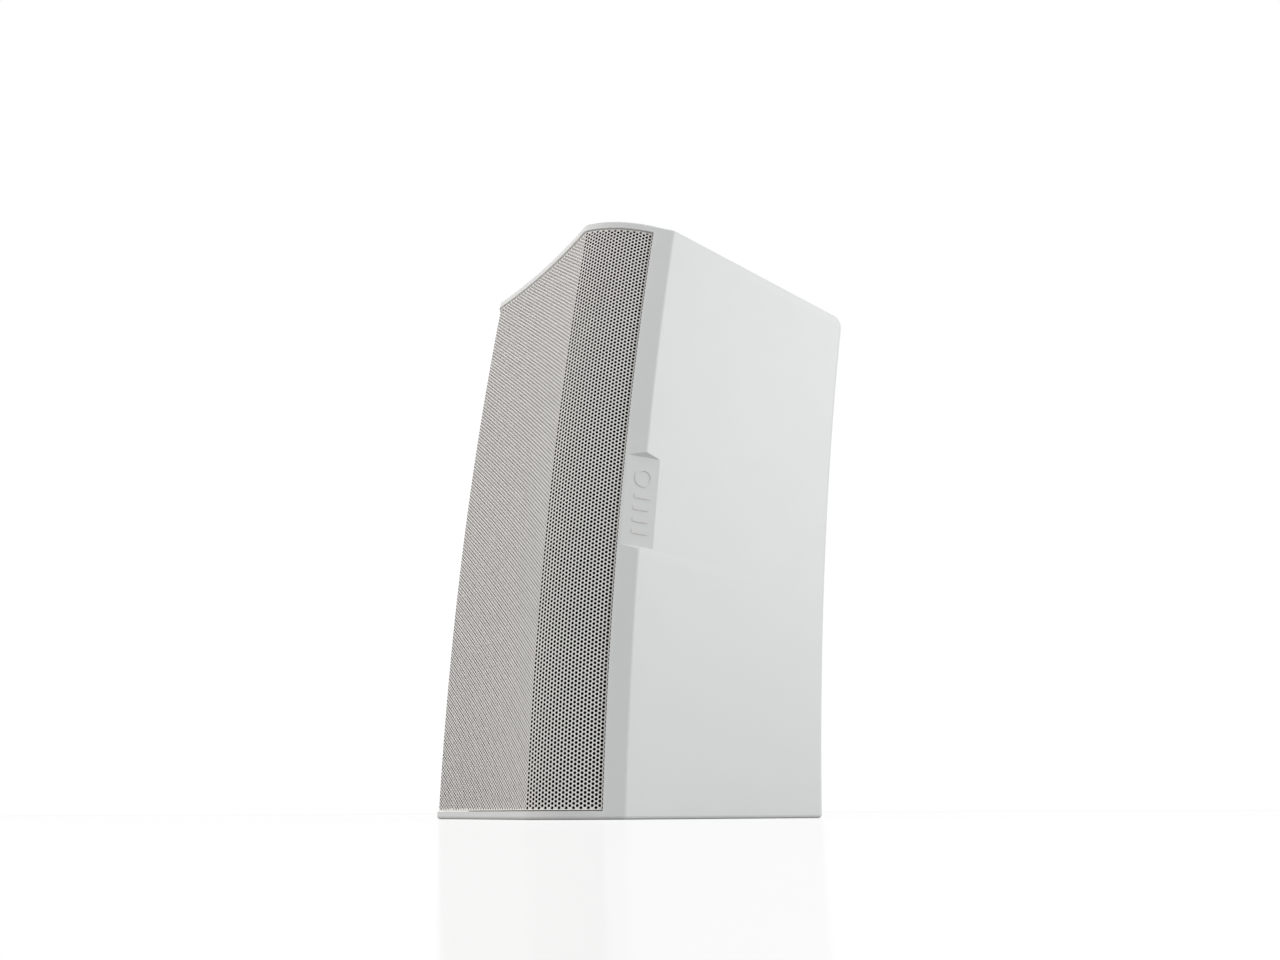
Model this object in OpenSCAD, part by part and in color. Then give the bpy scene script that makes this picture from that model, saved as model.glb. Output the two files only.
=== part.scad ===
/* [Cabinet] */
// Height of the cabinet along its front, top edge to bottom edge
front_h = 466; // [430:2:500]
// Distance from the middle of the front to the middle of the rear
cab_depth = 231; // [222:1:240]
// Half width at the crease between bezel and side panel
crease_x = 138.5; // [136:0.5:142]
// Distance of that crease behind the middle of the front
crease_y = 51.5; // [49:0.5:54]
// Half width at the rear corners
rear_x = 120; // [114:0.5:128]
// Radius of the bow that curves front and rear in side view
bow_r = 3300; // [2800:10:5000]
// Angle that the bottom rises towards the rear, which is the lean when standing
lean = 5.6; // [5:0.1:7]
// Angle that the top falls towards the rear
top_slope = 6.8; // [5:0.1:7]
// Thickness of the moulded walls
wall = 4; // [3:0.5:5]

/* [Grille] */
// Half width of the hollow centre facet, ridge to middle
ridge_x = 92; // [90:0.5:94]
// How far the ridges stand in front of the facet's middle
ridge_rise = 3.5; // [2:0.5:5]
// Radius of the side facets in plan
facet_r = 73.5; // [70:0.5:76]
// Angle of a side facet at the ridge, from sideways
facet_start = 24; // [20:1:28]
// Angle of a side facet at its outer edge
facet_end = 71; // [68:1:74]
// Sheet thickness of the grille
sheet_t = 1; // [0.8:0.1:1.5]
// Depth of the grille face below the frame around it
recess = 1.5; // [1:0.1:2.5]
// Thickness of the bars above and below the grille
bar_h = 6; // [5:0.5:8]

/* [Drivers] */
// Radius of the woofer's mounting flange
woofer_r = 104; // [101:1:105]
// Height of the woofer's centre from mid height, negative is down
woofer_z = -104; // [-108:1:-100]
// Height of the waveguide's centre from mid height
guide_z = 90; // [86:1:94]
// Radius of the waveguide's mouth
mouth_r = 66; // [60:1:68]
// Inside radius of the two ports
port_r = 18; // [14:1:20]

/* [Hidden] */

// Outline of the grille in plan
half_h = front_h / 2;
front_y = -ridge_rise - recess;
hollow_r = (ridge_x ^ 2 + ridge_rise ^ 2) / (2 * ridge_rise);
hollow_end = asin(ridge_x / hollow_r);
facet_steps = 8;
facet_edge_x = ridge_x + facet_r * (sin(facet_end) - sin(facet_start));
facet_edge_y = -ridge_rise + facet_r * (cos(facet_start) - cos(facet_end));

// Places inside the cabinet
gap = 0.6;
rebate_x = facet_edge_x + gap;
rebate_y = 50;
pocket_x = facet_edge_x - 1.5;
ledge_y = 62;
ledge_t = 8;
ledge_w = 12;
baffle_y = 20;
baffle_t = 5;
flange_t = 4;
gasket_t = 1.5;
rear_in_y = cab_depth - wall;
stud_x = 98;
stud_zs = [-202, 8, 202];
stud_r = 3;
port_x = 60;
port_z = 184;
port_wall = 2.5;
port_len = 110;
guide_flange_r = mouth_r + 9;
throat_r = 13;
throat_y = 74;
insert_r = 4.5;
insert_core_r = 2.5;
insert_len = 12;
boss_r = 8;
boss_len = 15;
mount_dx = 127 / 2;
mount_dz = 70 / 2;
yoke_y = 100;
pad_half_h = 34.4;
pad_z = 1;
pad_rear_y = 64;
cup_w = 120;
cup_h = 72;
cup_depth = 26;
cup_wall = 2.5;
cup_in_w = 96;
cup_in_h = 48;
cup_seat = 3;
cup_tilt = 2.8;
seat_t = 6;
plug_x = -24;
knob_x = 25;
plug_w = 21;

// The part's origin is the mouth of the insert in the bottom. The chord frame has
// its origin at mid height in the middle of the front, and its Z runs along the
// front chord. Standing, it leans back by lean.
lift = half_h * cos(lean) + front_y * sin(lean);
module standing() {
    translate([0, -yoke_y, lift]) rotate([-lean, 0, 0]) children();
}

// Moves children along the bow by an angle, positive is down
module along_bow(angle) {
    translate([0, bow_r, 0]) rotate([angle, 0, 0]) translate([0, -bow_r, 0]) children();
}

// A plan outline given as [y below the bow axis, x] swept along the bow
bow_angle = 10;
module bowed() {
    translate([0, bow_r, 0]) rotate([90, 0, -90]) rotate([0, 0, -bow_angle / 2])
        rotate_extrude(angle = bow_angle, $fn = 1080) children();
}
module plan(half) {
    right = [for (p = half) [bow_r - p[1], p[0]]];
    left = [for (i = [len(half) - 1 : -1 : 0]) [bow_r - half[i][1], -half[i][0]]];
    polygon(concat(right, left));
}

// The space between the top and bottom planes, inset from both
module between_ends(inset) {
    reach = 400;
    top = half_h - inset / cos(top_slope);
    bottom = half_h - inset / cos(lean);
    top_rise = reach * tan(top_slope);
    bottom_rise = reach * tan(lean);
    rotate([90, 0, 90]) translate([0, 0, -200]) linear_extrude(400)
        polygon([
            [front_y - reach, top + top_rise], [front_y - reach, -bottom - bottom_rise],
            [front_y + reach, -bottom + bottom_rise], [front_y + reach, top - top_rise],
        ]);
}

// Half outline of the front, offset forward of the grille face by d
function hollow_pt(a, d) = [
    hollow_r * sin(a) - d * sin(a),
    -hollow_r * (1 - cos(a)) - d * cos(a),
];
function facet_pt(a, d) = [
    ridge_x + facet_r * (sin(a) - sin(facet_start)) + d * sin(a),
    -ridge_rise + facet_r * (cos(facet_start) - cos(a)) - d * cos(a),
];
function ridge_pt(d) =
    let (
        turn = facet_start + hollow_end,
        mid = (facet_start - hollow_end) / 2,
        reach = d / cos(turn / 2)
    )
    [ridge_x + reach * sin(mid), -ridge_rise - reach * cos(mid)];
function front_half(d) = concat(
    [for (i = [0 : 3]) hollow_pt(hollow_end * i / 4, d)],
    [ridge_pt(d)],
    [for (i = [1 : facet_steps])
        facet_pt(facet_start + (facet_end - facet_start) * i / facet_steps, d)]
);

// Rounded corner at c between directions a and b, as three points
function unit(v) = v / norm(v);
function corner(c, a, b, r) =
    let (u = unit(a - c), v = unit(b - c), m = unit(u + v))
    [c + u * r, c + m * r * 0.42, c + v * r];

function side_x(y) = crease_x + (rear_x - crease_x) * (y - crease_y) / (cab_depth - crease_y);

module cabinet_outline() {
    edge = facet_pt(facet_end, recess);
    crease = [crease_x, crease_y];
    rear = [rear_x, cab_depth];
    plan(concat(
        front_half(recess),
        corner(crease, edge, rear, 3),
        corner(rear, crease, [0, cab_depth], 6)
    ));
}

module cavity_outline() {
    y0 = ledge_y + ledge_t;
    plan([[side_x(y0) - wall, y0], [side_x(rear_in_y) - wall, rear_in_y]]);
}

module box_y(x, y0, y1, z) {
    translate([-x, y0, -z]) cube([2 * x, y1 - y0, 2 * z]);
}

module rod_y(r, y0, y1, fn = 48) {
    translate([0, y0, 0]) rotate([-90, 0, 0]) cylinder(r = r, h = y1 - y0, $fn = fn);
}

module mount_spots() {
    for (x = [-mount_dx, mount_dx], z = [-mount_dz, mount_dz])
        translate([x, 0, z]) children();
}

module cup_place() {
    along_bow(cup_tilt) translate([0, cab_depth, 0]) children();
}

// Children stand on the outside of the bottom, z up, and of the top, z down
top_lift = half_h * cos(top_slope) + front_y * sin(top_slope);
module yoke_places() {
    children();
    standing() mirror([0, 0, 1]) rotate([top_slope, 0, 0]) translate([0, yoke_y, -top_lift])
        children();
}

module cabinet_shell() {
    color("white") difference() {
        union() {
            standing() difference() {
                intersection() {
                    bowed() cabinet_outline();
                    between_ends(0);
                }
                intersection() {
                    union() {
                        box_y(rebate_x, -60, rebate_y, 300);
                        box_y(pocket_x, rebate_y - 1, ledge_y, 300);
                    }
                    between_ends(bar_h);
                }
                intersection() {
                    box_y(pocket_x - ledge_w, ledge_y - 1, ledge_y + 20, 300);
                    between_ends(bar_h + ledge_w);
                }
                intersection() {
                    bowed() cavity_outline();
                    between_ends(wall);
                }
            }
            standing() {
                mount_spots() rod_y(boss_r, cab_depth - boss_len, rear_in_y + 1);
                cup_place() box_y(cup_w / 2 + 4, -cup_seat - seat_t, -1, cup_h / 2 + 4);
            }
            yoke_places() translate([0, 0, wall - 1])
                cylinder(r = boss_r, h = boss_len - wall + 1, $fn = 48);
        }
        standing() {
            mount_spots() rod_y(insert_r, cab_depth - insert_len, cab_depth + 5);
            flange_screw_spots() rod_y(2.2, ledge_y - 1, ledge_y + ledge_t + 8, 32);
            for (s = [0, 1]) mirror([s, 0, 0]) badge_cut();
            cup_place() {
                box_y(cup_w / 2 + 0.3, -cup_seat, 20, cup_h / 2 + 0.3);
                box_y(cup_in_w / 2 + cup_wall + 0.5, -20, 20, cup_in_h / 2 + cup_wall + 0.5);
                cup_screw_spots() rod_y(1.9, -cup_seat - seat_t + 1, 0, 32);
            }
        }
        yoke_places() translate([0, 0, -1]) cylinder(r = insert_r, h = insert_len + 1, $fn = 48);
    }
}

// Line of the badge pocket's floor in plan: start, direction and outward normal
pad_from = facet_pt(facet_end, recess);
pad_to = [side_x(pad_rear_y), pad_rear_y];
pad_dir = unit(pad_to - pad_from);
pad_angle = atan2(pad_dir[1], pad_dir[0]);
pad_w = norm(pad_to - pad_from);
module on_pad() {
    translate([pad_from[0], pad_from[1], 0]) rotate([0, 0, pad_angle]) children();
}
module badge_cut() {
    rise = 20;
    flare = rise * 0.9;
    on_pad() translate([-20, 0, pad_z]) rotate([90, 0, 90]) linear_extrude(60) polygon([
        [0, -pad_half_h], [0, pad_half_h],
        [-rise, pad_half_h + flare], [-rise, -pad_half_h - flare],
    ]);
}

module badge_emblems() {
    color("gainsboro") standing() for (s = [0, 1]) mirror([s, 0, 0]) on_pad()
        translate([pad_w / 2 + 1, 0, 0]) {
            translate([0, 0, 19]) rotate([90, 0, 0]) difference() {
                cylinder(r = 7, h = 0.5, $fn = 48);
                translate([0, 0, -1]) cylinder(r = 5.4, h = 3, $fn = 48);
            }
            for (z = [3, -6, -15, -24]) translate([-6, -0.5, z]) cube([12, 0.5, 3]);
        }
}

module insert_body() {
    difference() {
        cylinder(r = insert_r, h = insert_len, $fn = 48);
        translate([0, 0, -1]) cylinder(r = insert_core_r, h = insert_len + 2, $fn = 48);
    }
}
module rear_inserts() {
    color("goldenrod") standing() mount_spots() translate([0, cab_depth - insert_len, 0])
        rotate([-90, 0, 0]) insert_body();
}
module yoke_inserts() {
    color("goldenrod") yoke_places() insert_body();
}

// Baffle: a raised tray with a flange that screws to the ledge in the cabinet
tray_x = 112;
tray_inset = 10;
flange_y = ledge_y - gasket_t - flange_t;
screw_zs = [-190, -95, 0, 95, 190];
flange_screw_x = pocket_x - 6;
module front_baffle() {
    color("dimgray") standing() difference() {
        union() {
            intersection() {
                box_y(pocket_x - gap, flange_y, flange_y + flange_t, 300);
                between_ends(bar_h + gap);
            }
            intersection() {
                box_y(tray_x, baffle_y, flange_y + 1, 300);
                between_ends(bar_h + tray_inset);
            }
        }
        intersection() {
            box_y(tray_x - 3, baffle_y + baffle_t, ledge_y, 300);
            between_ends(bar_h + tray_inset + 3);
        }
        translate([0, 0, woofer_z]) rod_y(93, 0, ledge_y, 96);
        translate([0, 0, guide_z]) rod_y(mouth_r + 2, 0, ledge_y, 96);
        for (x = [-port_x, port_x]) translate([x, 0, port_z]) rod_y(port_r + port_wall, 0, ledge_y);
        stud_spots() rod_y(6, 0, ledge_y);
        flange_screw_spots() rod_y(2.2, 0, ledge_y);
        from_woofer() woofer_screw_spots() cylinder(r = 2.3, h = 40, $fn = 32);
        from_guide() guide_screw_spots() cylinder(r = 1.9, h = 40, $fn = 32);
    }
}
module stud_spots() {
    for (x = [-stud_x, stud_x], z = stud_zs) translate([x, 0, z]) children();
}
module flange_screw_spots() {
    for (x = [-flange_screw_x, flange_screw_x], z = screw_zs) translate([x, 0, z]) children();
}
module baffle_gasket() {
    color("black") standing() difference() {
        intersection() {
            box_y(pocket_x - gap, ledge_y - gasket_t, ledge_y, 300);
            between_ends(bar_h + gap);
        }
        intersection() {
            box_y(pocket_x - ledge_w, 0, 100, 300);
            between_ends(bar_h + ledge_w);
        }
        flange_screw_spots() rod_y(2.2, 0, 100);
    }
}
module screw_y(r, head_r, head_t, y_face, length) {
    rod_y(head_r, y_face - head_t, y_face, 32);
    rod_y(r, y_face - 0.1, y_face + length, 32);
}
module baffle_screws() {
    color("dimgray") standing() flange_screw_spots()
        screw_y(2.1, 3.8, 2.4, flange_y, flange_t + gasket_t + ledge_t);
}

module grille() {
    color("whitesmoke") standing() intersection() {
        bowed() grille_sheet(0, sheet_t);
        between_ends(bar_h + gap);
    }
}
module behind_front(d) {
    plan(concat(front_half(-d), [[facet_edge_x + 20, 90], [0, 90]]));
}
module grille_sheet(front, t) {
    difference() {
        plan(concat(front_half(-front), [[facet_edge_x - 2, 80], [0, 80]]));
        behind_front(front + t);
        plan([[200, facet_edge_y], [200, 100], [0, 100]]);
    }
}
module grille_scrim() {
    color("darkgray") standing() difference() {
        intersection() {
            bowed() grille_sheet(sheet_t, 0.8);
            between_ends(bar_h + gap + 2);
        }
        stud_spots() rod_y(stud_r + 0.3, -20, 30, 32);
    }
}

// Studs on the grille push into rubber sockets in the baffle
module grille_studs() {
    color("silver") standing() intersection() {
        stud_spots() rod_y(stud_r, -20, baffle_y + baffle_t + 3, 32);
        bowed() behind_front(sheet_t);
    }
}
module grille_sockets() {
    color("black") standing() stud_spots() difference() {
        union() {
            rod_y(8, baffle_y - 1.5, baffle_y);
            rod_y(6, baffle_y - 1, baffle_y + baffle_t + 2);
        }
        rod_y(stud_r + 0.3, 0, 60);
    }
}

// Driver axes in the chord frame, z rearward, and standing
module from_woofer() {
    translate([0, 0, woofer_z]) rotate([-90, 0, 0]) children();
}
module at_woofer() {
    standing() from_woofer() children();
}
w_face = baffle_y - gasket_t - 3.5;
w_seat = 84;
coil_r = 25;
cone_r = 76;
roll_r = 6.5;
roll_x = cone_r + roll_r;
pole_r = coil_r - 0.7;
spider_z = 70;
module ring(r_out, r_in, z0, z1) {
    translate([0, 0, z0]) difference() {
        cylinder(r = r_out, h = z1 - z0, $fn = 96);
        translate([0, 0, -1]) cylinder(r = r_in, h = z1 - z0 + 2, $fn = 96);
    }
}
module woofer_basket() {
    throw_z = 17;
    color("dimgray") at_woofer() difference() {
        rotate_extrude($fn = 96) polygon([
            [roll_x + roll_r + 1, w_face], [woofer_r, w_face], [woofer_r, w_face + 3.5],
            [91.5, w_face + 3.5], [91.5, w_face + 8], [58, spider_z + 2],
            [57, w_seat], [34, w_seat], [34, w_seat - 3], [54, w_seat - 3],
            [54.5, spider_z + 3], [52, spider_z + 3], [52, spider_z + 1], [55, spider_z + 1],
            [88, w_face + 7], [roll_x + roll_r + 1, w_face + 3],
        ]);
        for (i = [0 : 5]) rotate([0, 0, 60 * i]) translate([48, -17, w_face + 14])
            cube([60, 34, spider_z - w_face - throw_z - 4]);
        woofer_screw_spots() cylinder(r = 2.3, h = 40, $fn = 32);
    }
}
module woofer_gasket() {
    color("black") at_woofer() difference() {
        ring(woofer_r, 93, baffle_y - gasket_t, baffle_y);
        woofer_screw_spots() cylinder(r = 2.3, h = 40, $fn = 32);
    }
}
module woofer_screw_spots() {
    for (i = [0 : 7]) rotate([0, 0, 45 * i + 22.5]) translate([woofer_r - 6, 0, 0]) children();
}
module woofer_screws() {
    color("dimgray") at_woofer() woofer_screw_spots() {
        translate([0, 0, w_face - 2.6]) cylinder(r = 4.2, h = 2.6, $fn = 32);
        translate([0, 0, w_face - 0.1]) cylinder(r = 2.2, h = 9, $fn = 32);
    }
}
surround_z = w_face + 1;
roll_h = 5;
module woofer_surround() {
    turns = [for (a = [0 : 7.5 : 180]) [cos(a), -sin(a)]];
    back = [for (i = [len(turns) - 1 : -1 : 0]) turns[i]];
    outer = [for (t = turns) [roll_x + (roll_r + 0.5) * t[0], surround_z + (roll_h + 0.5) * t[1]]];
    inner = [for (t = back) [roll_x + (roll_r - 0.5) * t[0], surround_z + (roll_h - 0.5) * t[1]]];
    color("black") at_woofer() rotate_extrude($fn = 96) polygon(concat(outer, inner));
}
module woofer_cone() {
    color("black") at_woofer() rotate_extrude($fn = 96) polygon([
        [cone_r - 0.6, surround_z + 0.1], [cone_r + 0.3, surround_z + 0.1],
        [cone_r, surround_z + 2.5], [52, 36], [coil_r + 0.3, 56],
        [coil_r + 0.3, 54.8], [51.5, 34.8], [cone_r - 1.5, surround_z + 1.5],
    ]);
}
module woofer_dust_cap() {
    cap_r = 40;
    base_r = 32;
    base_z = 49;
    color("black") at_woofer() rotate_extrude($fn = 96) intersection() {
        translate([0, base_z + sqrt(cap_r ^ 2 - base_r ^ 2)]) difference() {
            circle(r = cap_r, $fn = 96);
            circle(r = cap_r - 0.8, $fn = 96);
        }
        square([base_r, base_z]);
    }
}
module woofer_spider() {
    waves = 4;
    r_in = coil_r + 0.6;
    r_wave = 51;
    r_out = 54;
    n = 32;
    line = concat(
        [for (i = [0 : n]) [r_in + (r_wave - r_in) * i / n,
            spider_z + 0.3 - 1.4 * sin(360 * waves * i / n)]],
        [[r_out, spider_z + 0.3]]
    );
    back = [for (i = [n + 1 : -1 : 0]) [line[i][0], line[i][1] + 0.6]];
    color("tan") at_woofer() rotate_extrude($fn = 64) polygon(concat(line, back));
}
module woofer_coil_former() {
    color("peru") at_woofer() ring(coil_r + 0.3, coil_r, 55, 100);
}
module woofer_coil_winding() {
    color("chocolate") at_woofer() ring(coil_r + 1.1, coil_r + 0.3, 82, 98);
}
module woofer_top_plate() {
    color("silver") at_woofer() ring(56, coil_r + 2, w_seat, w_seat + 7);
}
module woofer_magnet() {
    color("darkslategray") at_woofer() ring(64, 32, w_seat + 7, w_seat + 25);
}
module woofer_yoke() {
    color("silver") at_woofer() difference() {
        union() {
            translate([0, 0, w_seat + 25]) cylinder(r = 56, h = 7, $fn = 96);
            translate([0, 0, w_seat]) cylinder(r = pole_r, h = 26, $fn = 96);
        }
        translate([0, 0, w_seat - 1]) cylinder(r = 7, h = 50, $fn = 48);
    }
}
module woofer_terminal_strip() {
    color("saddlebrown") at_woofer() translate([-9, -68.3, w_seat - 2]) {
        cube([18, 11, 2]);
        for (x = [2, 13]) translate([x, -6, 0.6]) cube([3, 8, 0.8]);
    }
}

module from_guide() {
    translate([0, 0, guide_z]) rotate([-90, 0, 0]) children();
}
module at_guide() {
    standing() from_guide() children();
}
g_face = baffle_y - 3;
function flare_r(t) = throat_r + (mouth_r - throat_r) * (1 - t) ^ 1.9;
flare_steps = 12;
module waveguide() {
    inner = [for (i = [0 : flare_steps]) let (t = i / flare_steps)
        [flare_r(t), g_face + (throat_y - g_face) * t]];
    outer = [for (i = [flare_steps : -1 : 1]) let (t = i / flare_steps)
        [flare_r(t) + 2, g_face + (throat_y - g_face) * t + 0.8]];
    color("black") at_guide() difference() {
        union() {
            rotate_extrude($fn = 96) polygon(concat(inner,
                [[36, throat_y], [36, throat_y - 3]],
                [for (p = outer) if (p[0] < 34 && p[1] < throat_y - 3) p],
                [for (p = outer) if (p[0] >= 34) p],
                [[guide_flange_r - 9, baffle_y], [guide_flange_r, baffle_y], [guide_flange_r, g_face]]));
        }
        guide_screw_spots() cylinder(r = 1.9, h = 40, $fn = 32);
    }
}
module guide_screw_spots() {
    for (i = [0 : 5]) rotate([0, 0, 60 * i]) translate([guide_flange_r - 4, 0, 0]) children();
}
module waveguide_screws() {
    color("dimgray") at_guide() guide_screw_spots() {
        translate([0, 0, g_face - 2.2]) cylinder(r = 3.4, h = 2.2, $fn = 32);
        translate([0, 0, g_face - 0.1]) cylinder(r = 1.8, h = 7, $fn = 32);
    }
}
module tweeter_dome() {
    dome_r = 15;
    skirt_r = 12.4;
    drop = sqrt(dome_r ^ 2 - skirt_r ^ 2);
    color("silver") at_guide() rotate_extrude($fn = 64) {
        intersection() {
            translate([0, throat_y + 3 + drop]) difference() {
                circle(r = dome_r, $fn = 64);
                circle(r = dome_r - 0.5, $fn = 64);
            }
            translate([0, 0]) square([skirt_r, throat_y + 3]);
        }
        translate([skirt_r - 0.4, throat_y + 2.9]) square([0.4, 10]);
    }
}
module tweeter_top_plate() {
    color("silver") at_guide() ring(36, 13.3, throat_y + 4, throat_y + 8);
    color("silver") at_guide() ring(36, 30, throat_y, throat_y + 4);
}
module tweeter_magnet() {
    color("darkslategray") at_guide() ring(36, 17, throat_y + 8, throat_y + 20);
}
module tweeter_yoke() {
    color("silver") at_guide() {
        translate([0, 0, throat_y + 20]) cylinder(r = 34, h = 4, $fn = 64);
        translate([0, 0, throat_y + 8]) cylinder(r = 11.4, h = 12.1, $fn = 64);
    }
}
module tweeter_terminal_strip() {
    color("saddlebrown") at_guide() translate([-9, 30.5, throat_y + 24]) {
        cube([18, 6, 2]);
        for (x = [2, 13]) translate([x, 4, 0.6]) cube([3, 6, 0.8]);
    }
}
module tweeter_rear_cap() {
    color("black") at_guide() difference() {
        translate([0, 0, throat_y + 24]) cylinder(r = 30, h = 16, $fn = 64);
        translate([0, 0, throat_y + 23]) cylinder(r = 27.5, h = 14.5, $fn = 64);
    }
}

module port_tubes() {
    color("black") standing() for (x = [-port_x, port_x]) translate([x, 0, port_z]) difference() {
        union() {
            rod_y(port_r + port_wall - 0.1, baffle_y - 2, baffle_y + port_len);
            rod_y(port_r + 6, baffle_y - 2.5, baffle_y);
        }
        rod_y(port_r, 0, 200);
    }
}

module damping_pads() {
    slope = atan((crease_x - rear_x) / (cab_depth - crease_y));
    color("lightgray") standing() for (s = [0, 1]) mirror([s, 0, 0])
        translate([side_x(90) - wall - 1, 90, -60]) rotate([0, 0, slope])
            translate([-14, 0, 0]) cube([14, 105, 200]);
}

board_y = rear_in_y - 12;
board_w = 150;
board_z0 = -94;
board_z1 = -42;
board_holes = [for (x = [-board_w / 2 + 6, board_w / 2 - 6], z = [board_z0 + 6, board_z1 - 6]) [x, z]];
module crossover_board() {
    color("darkgreen") standing() difference() {
        translate([-board_w / 2, board_y - 1.6, board_z0]) cube([board_w, 1.6, board_z1 - board_z0]);
        for (h = board_holes) translate([h[0], 0, h[1]]) rod_y(1.6, board_y - 5, board_y + 5, 32);
    }
}
function bow_back(z) = bow_r - sqrt(bow_r ^ 2 - z ^ 2);
module board_standoffs() {
    color("silver") standing() for (h = board_holes) translate([h[0], 0, h[1]]) {
        rod_y(3, board_y, rear_in_y + bow_back(h[1]) - 0.05, 32);
        rod_y(1.5, board_y - 4, board_y + 0.1, 32);
        rod_y(2.8, board_y - 4, board_y - 1.6, 32);
    }
}
module crossover_inductors() {
    color("chocolate") standing() for (x = [-46, 6]) translate([x, 0, board_z0 + 22])
        difference() {
            rod_y(17, board_y - 20, board_y - 1.6);
            rod_y(7, board_y - 30, board_y + 5);
        }
}
module crossover_capacitors() {
    color("gold") standing() {
        for (z = [board_z0 + 12, board_z0 + 32]) translate([32, board_y - 10.6, z]) rotate([0, 90, 0])
            cylinder(r = 9, h = 32, $fn = 48);
    }
}
module crossover_resistors() {
    color("ivory") standing() for (x = [-28, -19]) translate([x, board_y - 10.6, board_z0 + 2])
        cube([7, 9, 40]);
}

// The line transformer stands on the cabinet floor
tr_x = -62;
tr_y = 50;
module transformer_core() {
    color("dimgray") translate([tr_x - 30, tr_y - 14, wall + 1.6]) difference() {
        cube([60, 28, 50]);
        for (x = [10, 38]) translate([x, -1, 10]) cube([12, 30, 30]);
    }
}
module transformer_winding() {
    color("goldenrod") translate([tr_x, tr_y, wall + 1.6 + 10.3]) difference() {
        translate([-19.7, -25, 0]) cube([39.4, 50, 29.4]);
        translate([-8.2, -14.2, -1]) cube([16.4, 28.4, 32]);
    }
}
module transformer_bracket() {
    color("silver") translate([tr_x, tr_y, wall]) difference() {
        translate([-42, -14, 0]) cube([84, 28, 1.5]);
        for (x = [-36, 36]) translate([x, 0, -1]) cylinder(r = 2.2, h = 4, $fn = 32);
    }
}
module transformer_screws() {
    color("silver") translate([tr_x, tr_y, wall]) for (x = [-36, 36]) translate([x, 0, 0]) {
        cylinder(r = 2.1, h = 1.6, $fn = 32);
        translate([0, 0, 1.5]) cylinder(r = 4, h = 2.4, $fn = 32);
    }
}

// Input cup in the rear wall, its face flush with the seat cut for it
cup_floor_y = -cup_depth;
module input_cup() {
    color("dimgray") standing() cup_place() difference() {
        union() {
            box_y(cup_w / 2, -2.2, 0, cup_h / 2);
            box_y(cup_in_w / 2 + cup_wall, cup_floor_y - cup_wall, -1, cup_in_h / 2 + cup_wall);
        }
        box_y(cup_in_w / 2, cup_floor_y, 5, cup_in_h / 2);
        translate([plug_x, 0, 0]) box_y(plug_w / 2 - 1, -40, 0, 4);
        translate([knob_x, 0, 0]) rod_y(3.6, -40, 0);
        cup_screw_spots() rod_y(1.9, -10, 5, 32);
    }
}
module cup_screw_spots() {
    for (x = [-cup_w / 2 + 5, cup_w / 2 - 5], z = [-cup_h / 2 + 5, cup_h / 2 - 5])
        translate([x, 0, z]) children();
}
module input_gasket() {
    color("black") standing() cup_place() difference() {
        box_y(cup_w / 2, -cup_seat, -2.2, cup_h / 2);
        box_y(cup_in_w / 2 + cup_wall + 0.5, -10, 5, cup_in_h / 2 + cup_wall + 0.5);
        cup_screw_spots() rod_y(1.9, -10, 5, 32);
    }
}
module input_screws() {
    color("silver") standing() cup_place() cup_screw_spots() {
        rod_y(3.2, 0, 2, 32);
        rod_y(1.8, -cup_seat, 0.1, 32);
    }
}
// Four pole header with its mating screw terminal plug
pole = 5;
module terminal_header() {
    color("forestgreen") standing() cup_place() translate([plug_x, 0, 0]) {
        difference() {
            box_y(plug_w / 2 + 1.5, cup_floor_y, cup_floor_y + 10, 5.5);
            box_y(plug_w / 2, cup_floor_y + 1.5, cup_floor_y + 11, 4.2);
        }
        for (i = [-1.5 : 1.5]) translate([i * pole, 0, 0]) box_y(0.5, cup_floor_y - 6, cup_floor_y + 8, 0.5);
    }
}
module terminal_plug() {
    y0 = cup_floor_y + 1.8;
    color("limegreen") standing() cup_place() translate([plug_x, 0, 0]) difference() {
        union() {
            box_y(plug_w / 2 - 0.3, y0, y0 + 10, 3.9);
            box_y(plug_w / 2 - 0.3, y0 + 8.6, y0 + 20, 6.5);
        }
        for (i = [-1.5 : 1.5]) translate([i * pole, 0, 0]) {
            box_y(0.9, y0 - 1, y0 + 7, 0.9);
            translate([0, 0, -1.5]) rod_y(1.7, y0 + 12, y0 + 21, 32);
            translate([0, y0 + 14, 2]) cylinder(r = 1.7, h = 6, $fn = 32);
        }
    }
}
module terminal_plug_screws() {
    y0 = cup_floor_y + 1.8;
    color("silver") standing() cup_place() for (i = [-1.5 : 1.5])
        translate([plug_x + i * pole, y0 + 14, 3]) difference() {
            cylinder(r = 1.6, h = 2.6, $fn = 32);
            translate([-2, -0.25, 1.8]) cube([4, 0.5, 2]);
        }
}
module tap_switch() {
    color("gray") standing() cup_place() translate([knob_x, 0, 0]) {
        rod_y(13, cup_floor_y - cup_wall - 14, cup_floor_y - cup_wall);
    }
}
module tap_shaft() {
    color("silver") standing() cup_place() translate([knob_x, 0, 0])
        rod_y(3, cup_floor_y - cup_wall + 0.3, cup_floor_y + 12);
}
module tap_nut() {
    color("silver") standing() cup_place() translate([knob_x, cup_floor_y, 0]) rotate([-90, 0, 0])
        difference() {
            cylinder(r = 6.5, h = 2, $fn = 6);
            translate([0, 0, -1]) cylinder(r = 3.6, h = 4, $fn = 48);
        }
}
module tap_knob() {
    color("black") standing() cup_place() translate([knob_x, 0, 0]) difference() {
        union() {
            rod_y(10, cup_floor_y + 3, cup_floor_y + 8);
            box_y(3, cup_floor_y + 3, cup_floor_y + 17, 9.2);
        }
        rod_y(3.05, cup_floor_y, cup_floor_y + 12.05);
    }
}

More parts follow.
